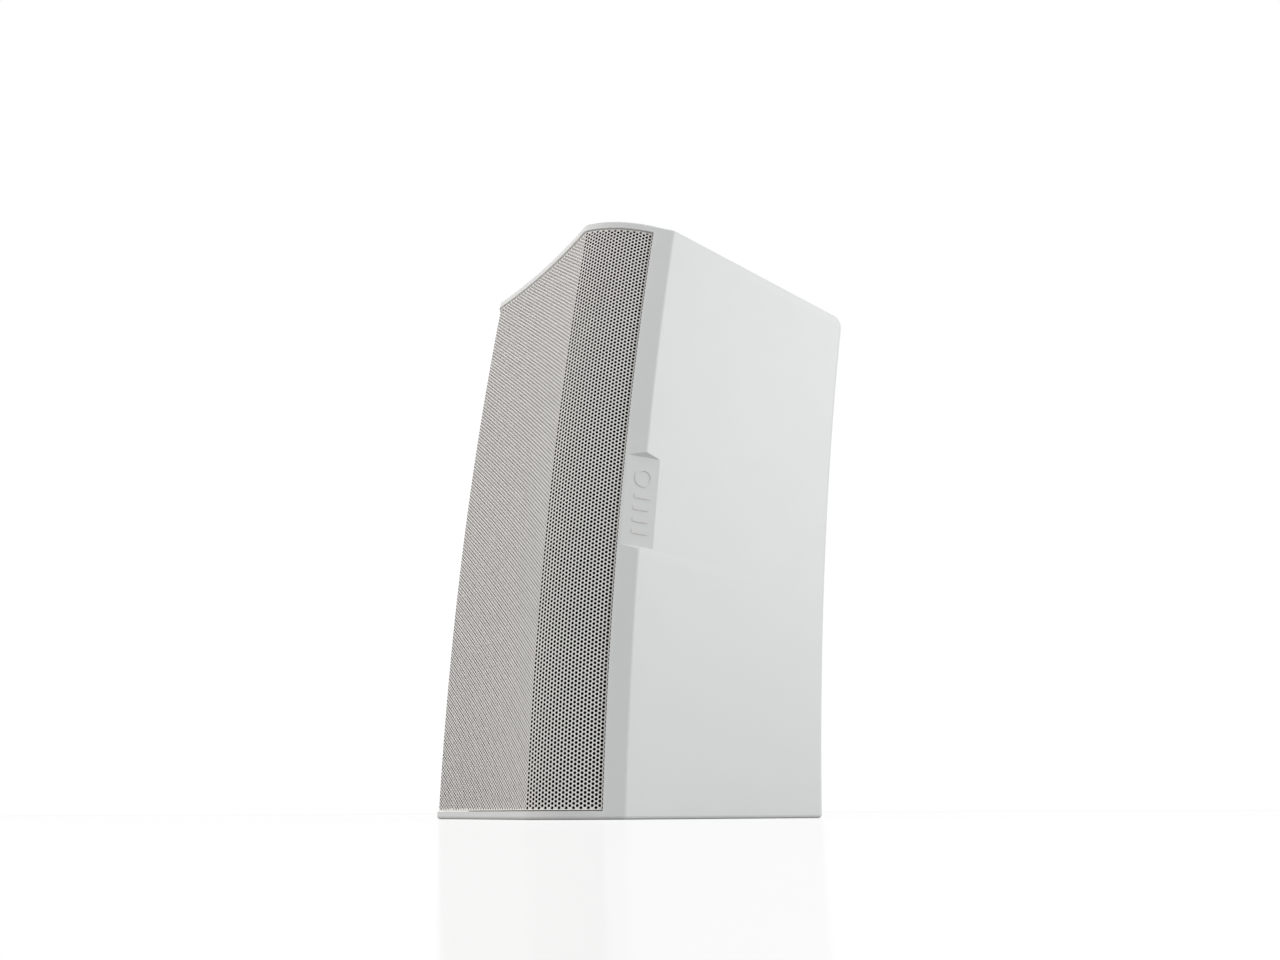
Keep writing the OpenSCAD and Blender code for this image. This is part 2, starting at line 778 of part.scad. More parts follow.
// Round wire swept along points, eight sided
function frame_at(p, i) =
    let (
        a = p[max(i - 1, 0)],
        b = p[min(i + 1, len(p) - 1)],
        t = unit(b - a),
        u = unit(cross(t, [0.31, 0.17, 0.93])),
        v = cross(t, u)
    )
    [u, v];
function smooth(p, n) = [for (i = [0 : len(p) - 2], k = [0 : n - 1])
    let (
        t = k / n,
        a = p[max(i - 1, 0)], b = p[i], c = p[i + 1], d = p[min(i + 2, len(p) - 1)]
    )
    0.5 * (2 * b + (c - a) * t + (2 * a - 5 * b + 4 * c - d) * t ^ 2
        + (3 * b - a - 3 * c + d) * t ^ 3)];
module wire(points, r) {
    sides = 8;
    path = concat(smooth(points, 5), [points[len(points) - 1]]);
    n = len(path);
    verts = [for (i = [0 : n - 1]) let (f = frame_at(path, i))
        for (k = [0 : sides - 1])
            path[i] + r * (f[0] * cos(360 * k / sides) + f[1] * sin(360 * k / sides))];
    skin = [for (i = [0 : n - 2], k = [0 : sides - 1]) let (m = (k + 1) % sides)
        [i * sides + k, (i + 1) * sides + k, (i + 1) * sides + m, i * sides + m]];
    near = [for (k = [0 : sides - 1]) k];
    far = [for (k = [sides - 1 : -1 : 0]) (n - 1) * sides + k];
    polyhedron(verts, concat(skin, [near, far]), convexity = 6);
}
wire_r = 1.1;
board_face = board_y - 1.6;
module woofer_wires() {
    color("firebrick") standing() for (s = [-1, 1])
        wire([[s * 5.5, 83, -28.6], [s * 5.5, 88, -27], [s * 5, 120, -20], [s * 5 - 2, 168, -22],
            [s * 5 - 4, 196, -40], [s * 5 - 4, board_face - 6, -47], [s * 5 - 4, board_face - 0.4, -47]],
            wire_r);
}
module tweeter_wires() {
    color("steelblue") standing() for (s = [-1, 1])
        wire([[s * 5.5, 99, 48], [s * 5.5, 104, 46.5], [s * 5 + 8, 140, 30], [s * 5 + 20, 178, -5],
            [s * 5 + 24, 198, -34], [s * 5 + 24, board_face - 6, -47],
            [s * 5 + 24, board_face - 0.4, -47]], wire_r);
}
module input_wires() {
    color("gray") standing() for (s = [-1, 1])
        wire([[s * 5 + knob_x, 191.6, -152], [s * 5 + knob_x, 184, -149], [s * 5 + 24, 181, -130],
            [s * 5 + 22, 192, -106], [s * 5 + 22, board_face - 6, -89],
            [s * 5 + 22, board_face - 0.4, -89]], wire_r);
}

cabinet_shell();
rear_inserts();
yoke_inserts();
badge_emblems();
front_baffle();
baffle_gasket();
baffle_screws();
grille();
grille_scrim();
grille_studs();
grille_sockets();
woofer_basket();
woofer_gasket();
woofer_screws();
woofer_surround();
woofer_cone();
woofer_dust_cap();
woofer_spider();
woofer_coil_former();
woofer_coil_winding();
woofer_top_plate();
woofer_magnet();
woofer_yoke();
woofer_terminal_strip();
waveguide();
waveguide_screws();
tweeter_dome();
tweeter_top_plate();
tweeter_magnet();
tweeter_yoke();
tweeter_rear_cap();
tweeter_terminal_strip();
port_tubes();
damping_pads();
crossover_board();
board_standoffs();
crossover_inductors();
crossover_capacitors();
crossover_resistors();
transformer_core();
transformer_winding();
transformer_bracket();
transformer_screws();
input_cup();
input_gasket();
input_screws();
terminal_header();
terminal_plug();
terminal_plug_screws();
tap_switch();
tap_shaft();
tap_nut();
tap_knob();
woofer_wires();
tweeter_wires();
input_wires();
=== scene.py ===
import math

import bmesh
import bpy
import numpy as np
from mathutils import Matrix, Vector, noise


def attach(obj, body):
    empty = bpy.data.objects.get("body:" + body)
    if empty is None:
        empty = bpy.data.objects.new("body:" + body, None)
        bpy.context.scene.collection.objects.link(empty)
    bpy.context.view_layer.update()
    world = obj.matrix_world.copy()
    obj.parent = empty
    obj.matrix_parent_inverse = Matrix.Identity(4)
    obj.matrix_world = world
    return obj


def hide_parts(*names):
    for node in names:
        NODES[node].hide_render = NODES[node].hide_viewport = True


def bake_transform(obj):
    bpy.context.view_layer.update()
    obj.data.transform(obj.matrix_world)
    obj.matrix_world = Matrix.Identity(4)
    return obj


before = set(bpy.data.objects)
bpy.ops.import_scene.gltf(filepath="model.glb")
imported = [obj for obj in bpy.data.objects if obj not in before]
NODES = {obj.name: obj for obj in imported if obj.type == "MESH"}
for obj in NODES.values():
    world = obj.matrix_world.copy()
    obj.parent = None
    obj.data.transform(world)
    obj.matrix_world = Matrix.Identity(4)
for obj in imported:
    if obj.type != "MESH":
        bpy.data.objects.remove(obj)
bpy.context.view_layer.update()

MM = 0.001

# ---- the cabinet's own frame
# The chord frame of the CAD source: origin at mid height in the middle of the front,
# y rearward, z along the front chord, in millimetres. Standing leans it back.
LEAN = math.radians(5.6)
TOP_SLOPE = math.radians(6.8)
HALF_H = 233.0
RIDGE_X = 92.0
RIDGE_RISE = 3.5
RECESS = 1.5
FRONT_Y = -RIDGE_RISE - RECESS
YOKE_Y = 100.0
BOW_R = 3300.0
CREASE = (138.5, 51.5)
REAR = (120.0, 231.0)
FACET_R = 73.5
FACET_START = math.radians(24)
FACET_END = math.radians(71)
BAR_H = 6.0
GAP = 0.6
WALL = 4.0
LEDGE_Y = 62.0
LEDGE_W = 12.0
LIFT = HALF_H * math.cos(LEAN) + FRONT_Y * math.sin(LEAN)
HOLLOW_R = (RIDGE_X**2 + RIDGE_RISE**2) / (2 * RIDGE_RISE)
HOLLOW_END = math.asin(RIDGE_X / HOLLOW_R)


def standing(points):
    """Chord-frame points in millimetres to row-frame points in metres."""
    x, y, z = np.moveaxis(np.asarray(points, float), -1, 0)
    c, s = math.cos(LEAN), math.sin(LEAN)
    return np.stack([x, y * c + z * s - YOKE_Y, -y * s + z * c + LIFT], -1) * MM


def standing_dir(v):
    """A chord-frame direction in the row frame."""
    c, s = math.cos(LEAN), math.sin(LEAN)
    return Vector((v[0], v[1] * c + v[2] * s, -v[1] * s + v[2] * c))


def bowed(plan, angle):
    """Plan points (x, y) at a bow angle (positive is up), in the chord frame."""
    rho = BOW_R - plan[..., 1]
    return np.stack([plan[..., 0], BOW_R - rho * np.cos(angle), rho * np.sin(angle)], -1)


def bow_angle_at_plane(plan_y, inset, top):
    """Bow angle where a plan point meets the top or bottom plane, inset from it."""
    plan_y = np.asarray(plan_y, float)
    rho = BOW_R - plan_y
    tilt = TOP_SLOPE if top else LEAN
    reach = HALF_H - inset / math.cos(tilt)
    z = np.full(plan_y.shape, reach)
    for _ in range(12):    # settles well within 12 rounds
        y = BOW_R - np.sqrt(rho**2 - z**2)
        z = reach - math.tan(tilt) * (y - FRONT_Y)
    a = np.arcsin(z / rho)
    return a if top else -a


def hollow_pt(a, d):
    """Plan point of the hollow front at angle a, offset forward by d; a may be an array."""
    return ((HOLLOW_R - d) * np.sin(a), -HOLLOW_R * (1 - np.cos(a)) - d * np.cos(a))


def facet_pt(a, d):
    """The same on the rounded facet beyond the ridge."""
    return (RIDGE_X + FACET_R * (np.sin(a) - math.sin(FACET_START)) + d * np.sin(a),
            -RIDGE_RISE + FACET_R * (math.cos(FACET_START) - np.cos(a)) - d * np.cos(a))


def ridge_pt(d):
    turn = FACET_START + HOLLOW_END
    mid = (FACET_START - HOLLOW_END) / 2
    reach = d / math.cos(turn / 2)
    return (RIDGE_X + reach * math.sin(mid), -RIDGE_RISE - reach * math.cos(mid))


HOLLOW_LEN = HOLLOW_R * HOLLOW_END
FACET_LEN = FACET_R * (FACET_END - FACET_START)


def front_at(s, d):
    """Plan point at arc length s from the middle of the front, offset forward by d."""
    s = np.asarray(s, float)
    u = np.abs(s)
    a = np.minimum(u, HOLLOW_LEN) / HOLLOW_R
    b = FACET_START + np.maximum(u - HOLLOW_LEN, 0) / FACET_R
    (hollow_x, hollow_y), (facet_x, facet_y) = hollow_pt(a, d), facet_pt(b, d)
    on_facet = u > HOLLOW_LEN
    x = np.where(on_facet, facet_x, hollow_x) * np.where(s < 0, -1, 1)
    return np.stack([x, np.where(on_facet, facet_y, hollow_y)], -1)


# ---- materials
WAVE_DENSITY = 3.183    # waves per unit of length at scale 1


def new_material(name, colour, roughness, metallic=0.0, specular=0.5):
    mat = bpy.data.materials.new(name)
    mat.use_nodes = True
    shader = mat.node_tree.nodes["Principled BSDF"]
    shader.inputs["Base Color"].default_value = (*colour, 1)
    shader.inputs["Roughness"].default_value = roughness
    shader.inputs["Metallic"].default_value = metallic
    shader.inputs["Specular IOR Level"].default_value = specular
    return mat, mat.node_tree, shader


def node(tree, kind, **values):
    """A new node with its settings and input values; a value that is an output is linked."""
    made = tree.nodes.new(kind)
    for key, value in values.items():
        if key not in made.inputs:
            setattr(made, key, value)
        elif isinstance(value, bpy.types.NodeSocket):
            tree.links.new(value, made.inputs[key])
        else:
            made.inputs[key].default_value = value
    return made


def coords(tree, scale=(1, 1, 1), turn=(0, 0, 0)):
    own = node(tree, "ShaderNodeTexCoord").outputs["Object"]
    mapping = node(tree, "ShaderNodeMapping", Vector=own, Scale=scale, Rotation=turn)
    return mapping.outputs["Vector"]


def noise_of(tree, vector, scale, detail=4.0, rough=0.55):
    tex = node(tree, "ShaderNodeTexNoise", Vector=vector, Scale=scale, Detail=detail,
               Roughness=rough)
    return tex.outputs["Fac"]


def mapped(tree, value, lo, hi, start=0.3, end=0.7):
    """Stretches start..end to lo..hi; a noise texture stays mostly within 0.3 to 0.7."""
    ends = {"From Min": start, "From Max": end, "To Min": lo, "To Max": hi}
    return node(tree, "ShaderNodeMapRange", Value=value, **ends).outputs["Result"]


def mixed_colour(tree, factor, a, b):
    m = node(tree, "ShaderNodeMix", data_type="RGBA", A=(*a, 1), B=(*b, 1), Factor=factor)
    return m.outputs["Result"]


def shaded(colour, k):
    return tuple(min(1.0, max(0.0, c * k)) for c in colour)


def two_tone(tree, shader, colour, factor, dark, light):
    """Base colour between a darker and a lighter shade of one colour."""
    out = mixed_colour(tree, factor, shaded(colour, dark), shaded(colour, light))
    tree.links.new(out, shader.inputs["Base Color"])


def vary_gloss(tree, shader, value, low, high):
    tree.links.new(mapped(tree, value, low, high), shader.inputs["Roughness"])


def bands_of(tree, vector, pitch, axis, distortion, detail=2.0):
    """Straight waves that repeat every pitch along an axis."""
    tex = node(tree, "ShaderNodeTexWave", wave_type="BANDS", bands_direction=axis, Vector=vector,
               Scale=1.0 / (pitch * WAVE_DENSITY), Distortion=distortion, Detail=detail)
    return tex.outputs["Fac"]


def bump_of(tree, shader, heights, distance):
    """Adds the heights, each an output and its share, and feeds them to the shader's normal."""
    total = None
    for out, share in heights:
        m = node(tree, "ShaderNodeMath", operation="MULTIPLY_ADD")
        tree.links.new(out, m.inputs[0])
        m.inputs[1].default_value = share
        m.inputs[2].default_value = 0.0
        if total:
            tree.links.new(total, m.inputs[2])
        total = m.outputs[0]
    b = node(tree, "ShaderNodeBump", Height=total, Distance=distance)
    tree.links.new(b.outputs["Normal"], shader.inputs["Normal"])


def edge_wear_and_highlight(tree, base, colour, amount):
    """Lightens the colour along sharp outer edges: scuffing on the dark parts, a painted edge
    highlight on the white moulding.
    """
    geo = node(tree, "ShaderNodeNewGeometry")
    edges = mapped(tree, geo.outputs["Pointiness"], 0, amount, 0.52, 0.6)
    out = mixed_colour(tree, edges, colour, colour)
    tree.links.new(base, out.node.inputs["A"])
    return out


def grained(name, colour, roughness, grain=1500.0, depth=0.00002, drift=0.04, spread=0.08,
            metallic=0.0, specular=0.5, edge_wear_highlight=0.0, edge_wear_highlight_colour=(0.9, 0.9, 0.9)):
    """Moulded or coated surface: fine grain, slow colour drift and patchy gloss."""
    mat, tree, shader = new_material(name, colour, roughness, metallic, specular)
    v = coords(tree)
    slow = noise_of(tree, v, 9.0, 3.0)
    smear = noise_of(tree, v, 46.0, 5.0)
    fine = noise_of(tree, v, grain, 2.0)
    pits = noise_of(tree, v, grain * 2.7, 2.0)
    drifting = mapped(tree, slow, 0, 1)
    out = mixed_colour(tree, drifting, shaded(colour, 1 - drift), shaded(colour, 1 + drift))
    # lighter sharp edges: scuffing on the dark parts, a painted edge highlight on the white
    # moulding
    if edge_wear_highlight:
        out = edge_wear_and_highlight(tree, out, edge_wear_highlight_colour, edge_wear_highlight)
    tree.links.new(out, shader.inputs["Base Color"])
    vary_gloss(tree, shader, smear, roughness - spread, roughness + spread)
    bump_of(tree, shader, [(fine, 0.7), (pits, 0.3)], depth)
    return mat


def brushed(name, colour, roughness, along=(1, 1, 30), scale=220.0, depth=0.00001, metallic=1.0):
    """Drawn, turned or plated metal: noise stretched along one axis."""
    mat, tree, shader = new_material(name, colour, roughness, metallic)
    lines = noise_of(tree, coords(tree, along), scale, 4.0)
    blot = noise_of(tree, coords(tree), 60.0, 4.0)
    two_tone(tree, shader, colour, mapped(tree, blot, 0, 1), 0.88, 1.06)
    vary_gloss(tree, shader, lines, roughness - 0.1, roughness + 0.12)
    bump_of(tree, shader, [(lines, 0.8), (blot, 0.2)], depth)
    return mat


def woven(name, colour, pitch, depth, roughness=0.9, turn=(0, 0, 0), axes=("X", "Z"), sheen=0.3):
    """Cloth: two crossed wave bands make the threads, with fuzz over them."""
    mat, tree, shader = new_material(name, colour, roughness, 0.0, 0.2)
    shader.inputs["Sheen Weight"].default_value = sheen
    shader.inputs["Sheen Roughness"].default_value = 0.6
    v = coords(tree, turn=turn)
    knit = node(tree, "ShaderNodeMath", operation="MULTIPLY")
    for k, axis in enumerate(axes):
        tree.links.new(bands_of(tree, v, pitch, axis, 0.6, 1.0), knit.inputs[k])
    fuzz = noise_of(tree, v, 900.0, 3.0)
    two_tone(tree, shader, colour, knit.outputs[0], 0.55, 1.35)
    vary_gloss(tree, shader, fuzz, roughness - 0.1, min(1.0, roughness + 0.08))
    bump_of(tree, shader, [(knit.outputs[0], 1.0), (fuzz, 0.4)], depth)
    return mat


def wound(name, colour, pitch, axis, roughness=0.28, metallic=0.9):
    """Enamelled wire wound side by side."""
    mat, tree, shader = new_material(name, colour, roughness, metallic)
    shader.inputs["Coat Weight"].default_value = 0.5
    v = coords(tree, turn=(-LEAN, 0, 0))
    turns = bands_of(tree, v, pitch, axis, 0.4)
    blot = noise_of(tree, v, 120.0, 3.0)
    two_tone(tree, shader, colour, turns, 0.45, 1.1)
    vary_gloss(tree, shader, blot, roughness - 0.08, roughness + 0.15)
    bump_of(tree, shader, [(turns, 1.0)], pitch * 0.4)
    return mat


def fibrous(name, colour, roughness=0.95):
    """Non-woven felt: tangled fibres at two scales."""
    mat, tree, shader = new_material(name, colour, roughness, 0.0, 0.15)
    shader.inputs["Sheen Weight"].default_value = 0.5
    v = coords(tree)
    tangles = noise_of(tree, coords(tree, (1, 3.5, 1.3), (0.4, 0.2, 0.9)), 260.0, 6.0, 0.7)
    lint = noise_of(tree, v, 900.0, 4.0, 0.7)
    lumps = noise_of(tree, v, 35.0, 3.0)
    two_tone(tree, shader, colour, mapped(tree, tangles, 0, 1), 0.72, 1.12)
    vary_gloss(tree, shader, lint, 0.85, 1.0)
    bump_of(tree, shader, [(tangles, 0.8), (lint, 0.4), (lumps, 1.2)], 0.0012)
    return mat


def laminated(name, colour, pitch, axis="Y", roughness=0.45, metallic=0.6):
    """Stacked varnished laminations, seen on edge."""
    mat, tree, shader = new_material(name, colour, roughness, metallic)
    v = coords(tree)
    sheets = bands_of(tree, v, pitch, axis, 0.2)
    blot = noise_of(tree, v, 90.0, 4.0)
    two_tone(tree, shader, colour, sheets, 0.6, 1.2)
    vary_gloss(tree, shader, blot, roughness - 0.1, roughness + 0.15)
    bump_of(tree, shader, [(sheets, 0.8), (blot, 0.3)], 0.0001)
    return mat


def circuit(name):
    """Green solder mask over copper: a coarse cell pattern reads as tracks."""
    colour = (0.03, 0.17, 0.07)
    mat, tree, shader = new_material(name, colour, 0.35)
    shader.inputs["Coat Weight"].default_value = 0.4
    v = coords(tree, turn=(-LEAN, 0, 0))
    tracks = node(tree, "ShaderNodeTexBrick", Vector=v, Scale=90.0, Color1=(*colour, 1),
                  Color2=(0.045, 0.24, 0.1, 1), Mortar=(0.02, 0.11, 0.05, 1))
    tree.links.new(tracks.outputs["Color"], shader.inputs["Base Color"])
    blot = noise_of(tree, v, 300.0, 3.0)
    vary_gloss(tree, shader, blot, 0.25, 0.5)
    bump_of(tree, shader, [(tracks.outputs["Fac"], -1.0), (blot, 0.2)], 0.00005)
    return mat


WHITE = (0.795, 0.81, 0.812)
M = {
    # the white moulding's lighter edge colour is a painted edge highlight
    "moulding": grained("white_moulding", WHITE, 0.42, 2600.0, 0.000012, 0.006, 0.012,
                        edge_wear_highlight=0.25, edge_wear_highlight_colour=(0.86, 0.86, 0.85)),
    "emblem": grained("white_relief", (0.80, 0.80, 0.795), 0.36, 2600.0, 0.00001, 0.01, 0.04),
    "grille_paint": grained("powder_coat", (0.93, 0.915, 0.895), 0.5, 1900.0, 0.00002, 0.02, 0.06),
    "scrim": woven("black_scrim", (0.004, 0.004, 0.004), 0.0007, 0.0002, 0.95, sheen=0.0),
    "brass": brushed("turned_brass", (0.78, 0.56, 0.24), 0.3, (1, 20, 1)),
    "black_plastic": grained("black_moulding", (0.022, 0.022, 0.024), 0.5, 1500.0, 0.00004,
                             0.12, 0.08, edge_wear_highlight=0.35, edge_wear_highlight_colour=(0.09, 0.09, 0.09)),
    "waveguide": grained("black_gloss_moulding", (0.018, 0.018, 0.02), 0.32, 2200.0, 0.00001,
                         0.1, 0.06),
    "rubber": grained("black_rubber", (0.018, 0.018, 0.018), 0.72, 900.0, 0.00005, 0.2, 0.1,
                      specular=0.3, edge_wear_highlight=0.3, edge_wear_highlight_colour=(0.06, 0.06, 0.06)),
    "black_zinc": brushed("black_zinc", (0.06, 0.06, 0.065), 0.42, (1, 8, 1), metallic=0.85),
    "steel": brushed("zinc_plate", (0.66, 0.67, 0.68), 0.32, (1, 12, 1)),
    "basket": grained("basket_coat", (0.03, 0.03, 0.032), 0.45, 1300.0, 0.00006, 0.15, 0.1,
                      metallic=0.2, edge_wear_highlight=0.4, edge_wear_highlight_colour=(0.12, 0.12, 0.12)),
    "pulp": grained("coated_pulp", (0.03, 0.029, 0.028), 0.62, 420.0, 0.00018, 0.25, 0.1,
                    specular=0.3),
    "spider": woven("spider_weave", (0.5, 0.33, 0.14), 0.0009, 0.00025, 0.8),
    "film": grained("amber_film", (0.5, 0.27, 0.07), 0.22, 800.0, 0.00001, 0.1, 0.06),
    "copper_y": wound("copper_turns", (0.72, 0.33, 0.14), 0.0009, "Y"),
    "copper_z": wound("copper_layers", (0.72, 0.33, 0.14), 0.0009, "Z"),
    "plate": brushed("nickel_plate", (0.6, 0.6, 0.6), 0.36, (1, 1, 1), 500.0),
    "ferrite": grained("ferrite", (0.05, 0.05, 0.052), 0.6, 700.0, 0.00008, 0.2, 0.12),
    "phenolic": grained("phenolic", (0.16, 0.08, 0.035), 0.5, 800.0, 0.00003, 0.18, 0.1),
    "dome": brushed("anodised_dome", (0.72, 0.72, 0.74), 0.26, (1, 1, 1), 900.0, 0.000004),
    "felt": fibrous("damping_felt", (0.72, 0.71, 0.68)),
    "board": circuit("solder_mask"),
    "cap_film": grained("capacitor_wrap", (0.72, 0.55, 0.1), 0.25, 700.0, 0.00001, 0.08, 0.06),
    "cement": grained("resistor_cement", (0.78, 0.76, 0.7), 0.8, 650.0, 0.00012, 0.06, 0.08),
    "core": laminated("core_laminations", (0.15, 0.15, 0.16), 0.0007),
    "terminal": grained("green_nylon", (0.04, 0.36, 0.12), 0.34, 1200.0, 0.00002, 0.08, 0.07),
}
for name, colour in (("red_sleeve", (0.5, 0.03, 0.02)), ("blue_sleeve", (0.03, 0.09, 0.45)),
                     ("grey_sleeve", (0.3, 0.3, 0.31))):
    M[name] = grained(name, colour, 0.45, 900.0, 0.00002, 0.1, 0.08)
# CAD nodes that wear each look
CAD_LOOKS = {
    "moulding": "cabinet_shell",
    "emblem": "badge_emblems",
    "grille_paint": "grille",
    "scrim": "grille_scrim",
    "brass": "rear_inserts yoke_inserts",
    "black_plastic": "front_baffle port_tubes input_cup tap_knob tweeter_rear_cap tap_switch",
    "waveguide": "waveguide",
    "rubber": "baffle_gasket grille_sockets woofer_gasket woofer_surround input_gasket",
    "black_zinc": "baffle_screws woofer_screws waveguide_screws",
    "steel": "grille_studs board_standoffs transformer_bracket transformer_screws input_screws "
             "terminal_plug_screws tap_shaft tap_nut",
    "basket": "woofer_basket",
    "pulp": "woofer_cone woofer_dust_cap",
    "spider": "woofer_spider",
    "film": "woofer_coil_former",
    "copper_y": "woofer_coil_winding crossover_inductors",
    "copper_z": "transformer_winding",
    "plate": "woofer_top_plate woofer_yoke tweeter_top_plate tweeter_yoke",
    "ferrite": "woofer_magnet tweeter_magnet",
    "phenolic": "woofer_terminal_strip tweeter_terminal_strip",
    "dome": "tweeter_dome",
    "felt": "damping_pads",
    "board": "crossover_board",
    "cap_film": "crossover_capacitors",
    "cement": "crossover_resistors",
    "core": "transformer_core",
    "terminal": "terminal_header terminal_plug",
    "red_sleeve": "woofer_wires",
    "blue_sleeve": "tweeter_wires",
    "grey_sleeve": "input_wires",
}


def dress(obj, material):
    obj.data.materials.clear()
    obj.data.materials.append(material)


def dress_cad_nodes():
    for look, names in CAD_LOOKS.items():
        for name in names.split():
            dress(NODES[name], M[look])


# ---- mesh helpers
def link(obj):
    bpy.context.scene.collection.objects.link(obj)
    return obj


def object_from_arrays(name, verts, tris, material):
    """A mesh object from numpy arrays of points in metres and triangles."""
    mesh = bpy.data.meshes.new(name)
    mesh.vertices.add(len(verts))
    mesh.vertices.foreach_set("co", np.asarray(verts, np.float32).ravel())
    mesh.loops.add(len(tris) * 3)
    mesh.loops.foreach_set("vertex_index", np.asarray(tris, np.int32).ravel())
    mesh.polygons.add(len(tris))
    mesh.polygons.foreach_set("loop_start", np.arange(0, len(tris) * 3, 3, dtype=np.int32))
    mesh.update(calc_edges=True)
    mesh.validate()
    mesh.materials.append(material)
    return link(bpy.data.objects.new(name, mesh))


def object_from_faces(name, verts, faces, material=None):
    mesh = bpy.data.meshes.new(name)
    mesh.from_pydata([tuple(v) for v in verts], [], faces)
    mesh.update()
    if material:
        mesh.materials.append(material)
    return link(bpy.data.objects.new(name, mesh))


def circle(radius, sides):
    """Points (x, y) evenly round the origin."""
    turns = [math.radians(360 * k / sides) for k in range(sides)]
    return [(radius * math.cos(a), radius * math.sin(a)) for a in turns]


def tube_faces(rows, n):
    """Quads between rows + 1 rings of n points each, and a cap at each end."""
    sides = [(r * n + i, r * n + (i + 1) % n, (r + 1) * n + (i + 1) % n, (r + 1) * n + i)
             for r in range(rows) for i in range(n)]
    return sides + [tuple(range(n - 1, -1, -1)), tuple(range(rows * n, (rows + 1) * n))]


def posed(obj, origin, x, y, z):
    """Bakes a placement into the mesh: its own axes along x, y and z, its origin at a point."""
    turn = Matrix((x, y, z)).transposed().to_4x4()
    obj.data.transform(Matrix.Translation(Vector(origin)) @ turn)
    return obj


def outward(obj, merge=0.0):
    """Turns all faces outwards, after joining points closer than merge."""
    bm = bmesh.new()
    bm.from_mesh(obj.data)
    if merge:
        bmesh.ops.remove_doubles(bm, verts=bm.verts, dist=merge)
    bmesh.ops.recalc_face_normals(bm, faces=bm.faces)
    bm.to_mesh(obj.data)
    bm.free()
    return obj


def apply_modifiers(obj):
    graph = bpy.context.evaluated_depsgraph_get()
    mesh = bpy.data.meshes.new_from_object(obj.evaluated_get(graph))
    old = obj.data
    obj.modifiers.clear()
    obj.data = mesh
    bpy.data.meshes.remove(old)
    return obj


def cut(obj, cutter):
    """Takes one solid away from another and drops the cutter."""
    mod = obj.modifiers.new("cut", "BOOLEAN")
    mod.operation = "DIFFERENCE"
    mod.solver = "EXACT"
    mod.object = cutter
    apply_modifiers(obj)
    bpy.data.objects.remove(cutter)
    return obj


def shade(obj, angle=35):
    """Smooth shading, broken at edges sharper than the angle."""
    for p in obj.data.polygons:
        p.use_smooth = True
    obj.data.set_sharp_from_angle(angle=math.radians(angle))
    return obj


def add_bevel(obj, width, segments, angle):
    """Bevels edges sharper than an angle in degrees, by a width in millimetres."""
    bevel = obj.modifiers.new("edges", "BEVEL")
    bevel.width = width * MM
    bevel.segments = segments
    bevel.limit_method = "ANGLE"
    bevel.angle_limit = math.radians(angle)


def soften(obj, width, segments=2, angle=30):
    add_bevel(obj, width, segments, angle)
    return apply_modifiers(obj)


# ---- grille: perforated sheet
HOLE_PITCH = 3.0
COLUMN_STEP = HOLE_PITCH * math.sqrt(3) / 2
HOLE_R = 1.12
VISIBLE_T = 0.45
HOLE_SIDES = 12


def grille_point(s, v, depth):
    """Row-frame point on the sheet: s across, v from 0 at the bottom edge to 1 at the top."""
    plan = front_at(s, 0.0)
    low = bow_angle_at_plane(plan[..., 1], BAR_H + GAP, False)
    high = bow_angle_at_plane(plan[..., 1], BAR_H + GAP, True)
    at = front_at(s, -depth)
    return standing(bowed(at, low + (high - low) * v))


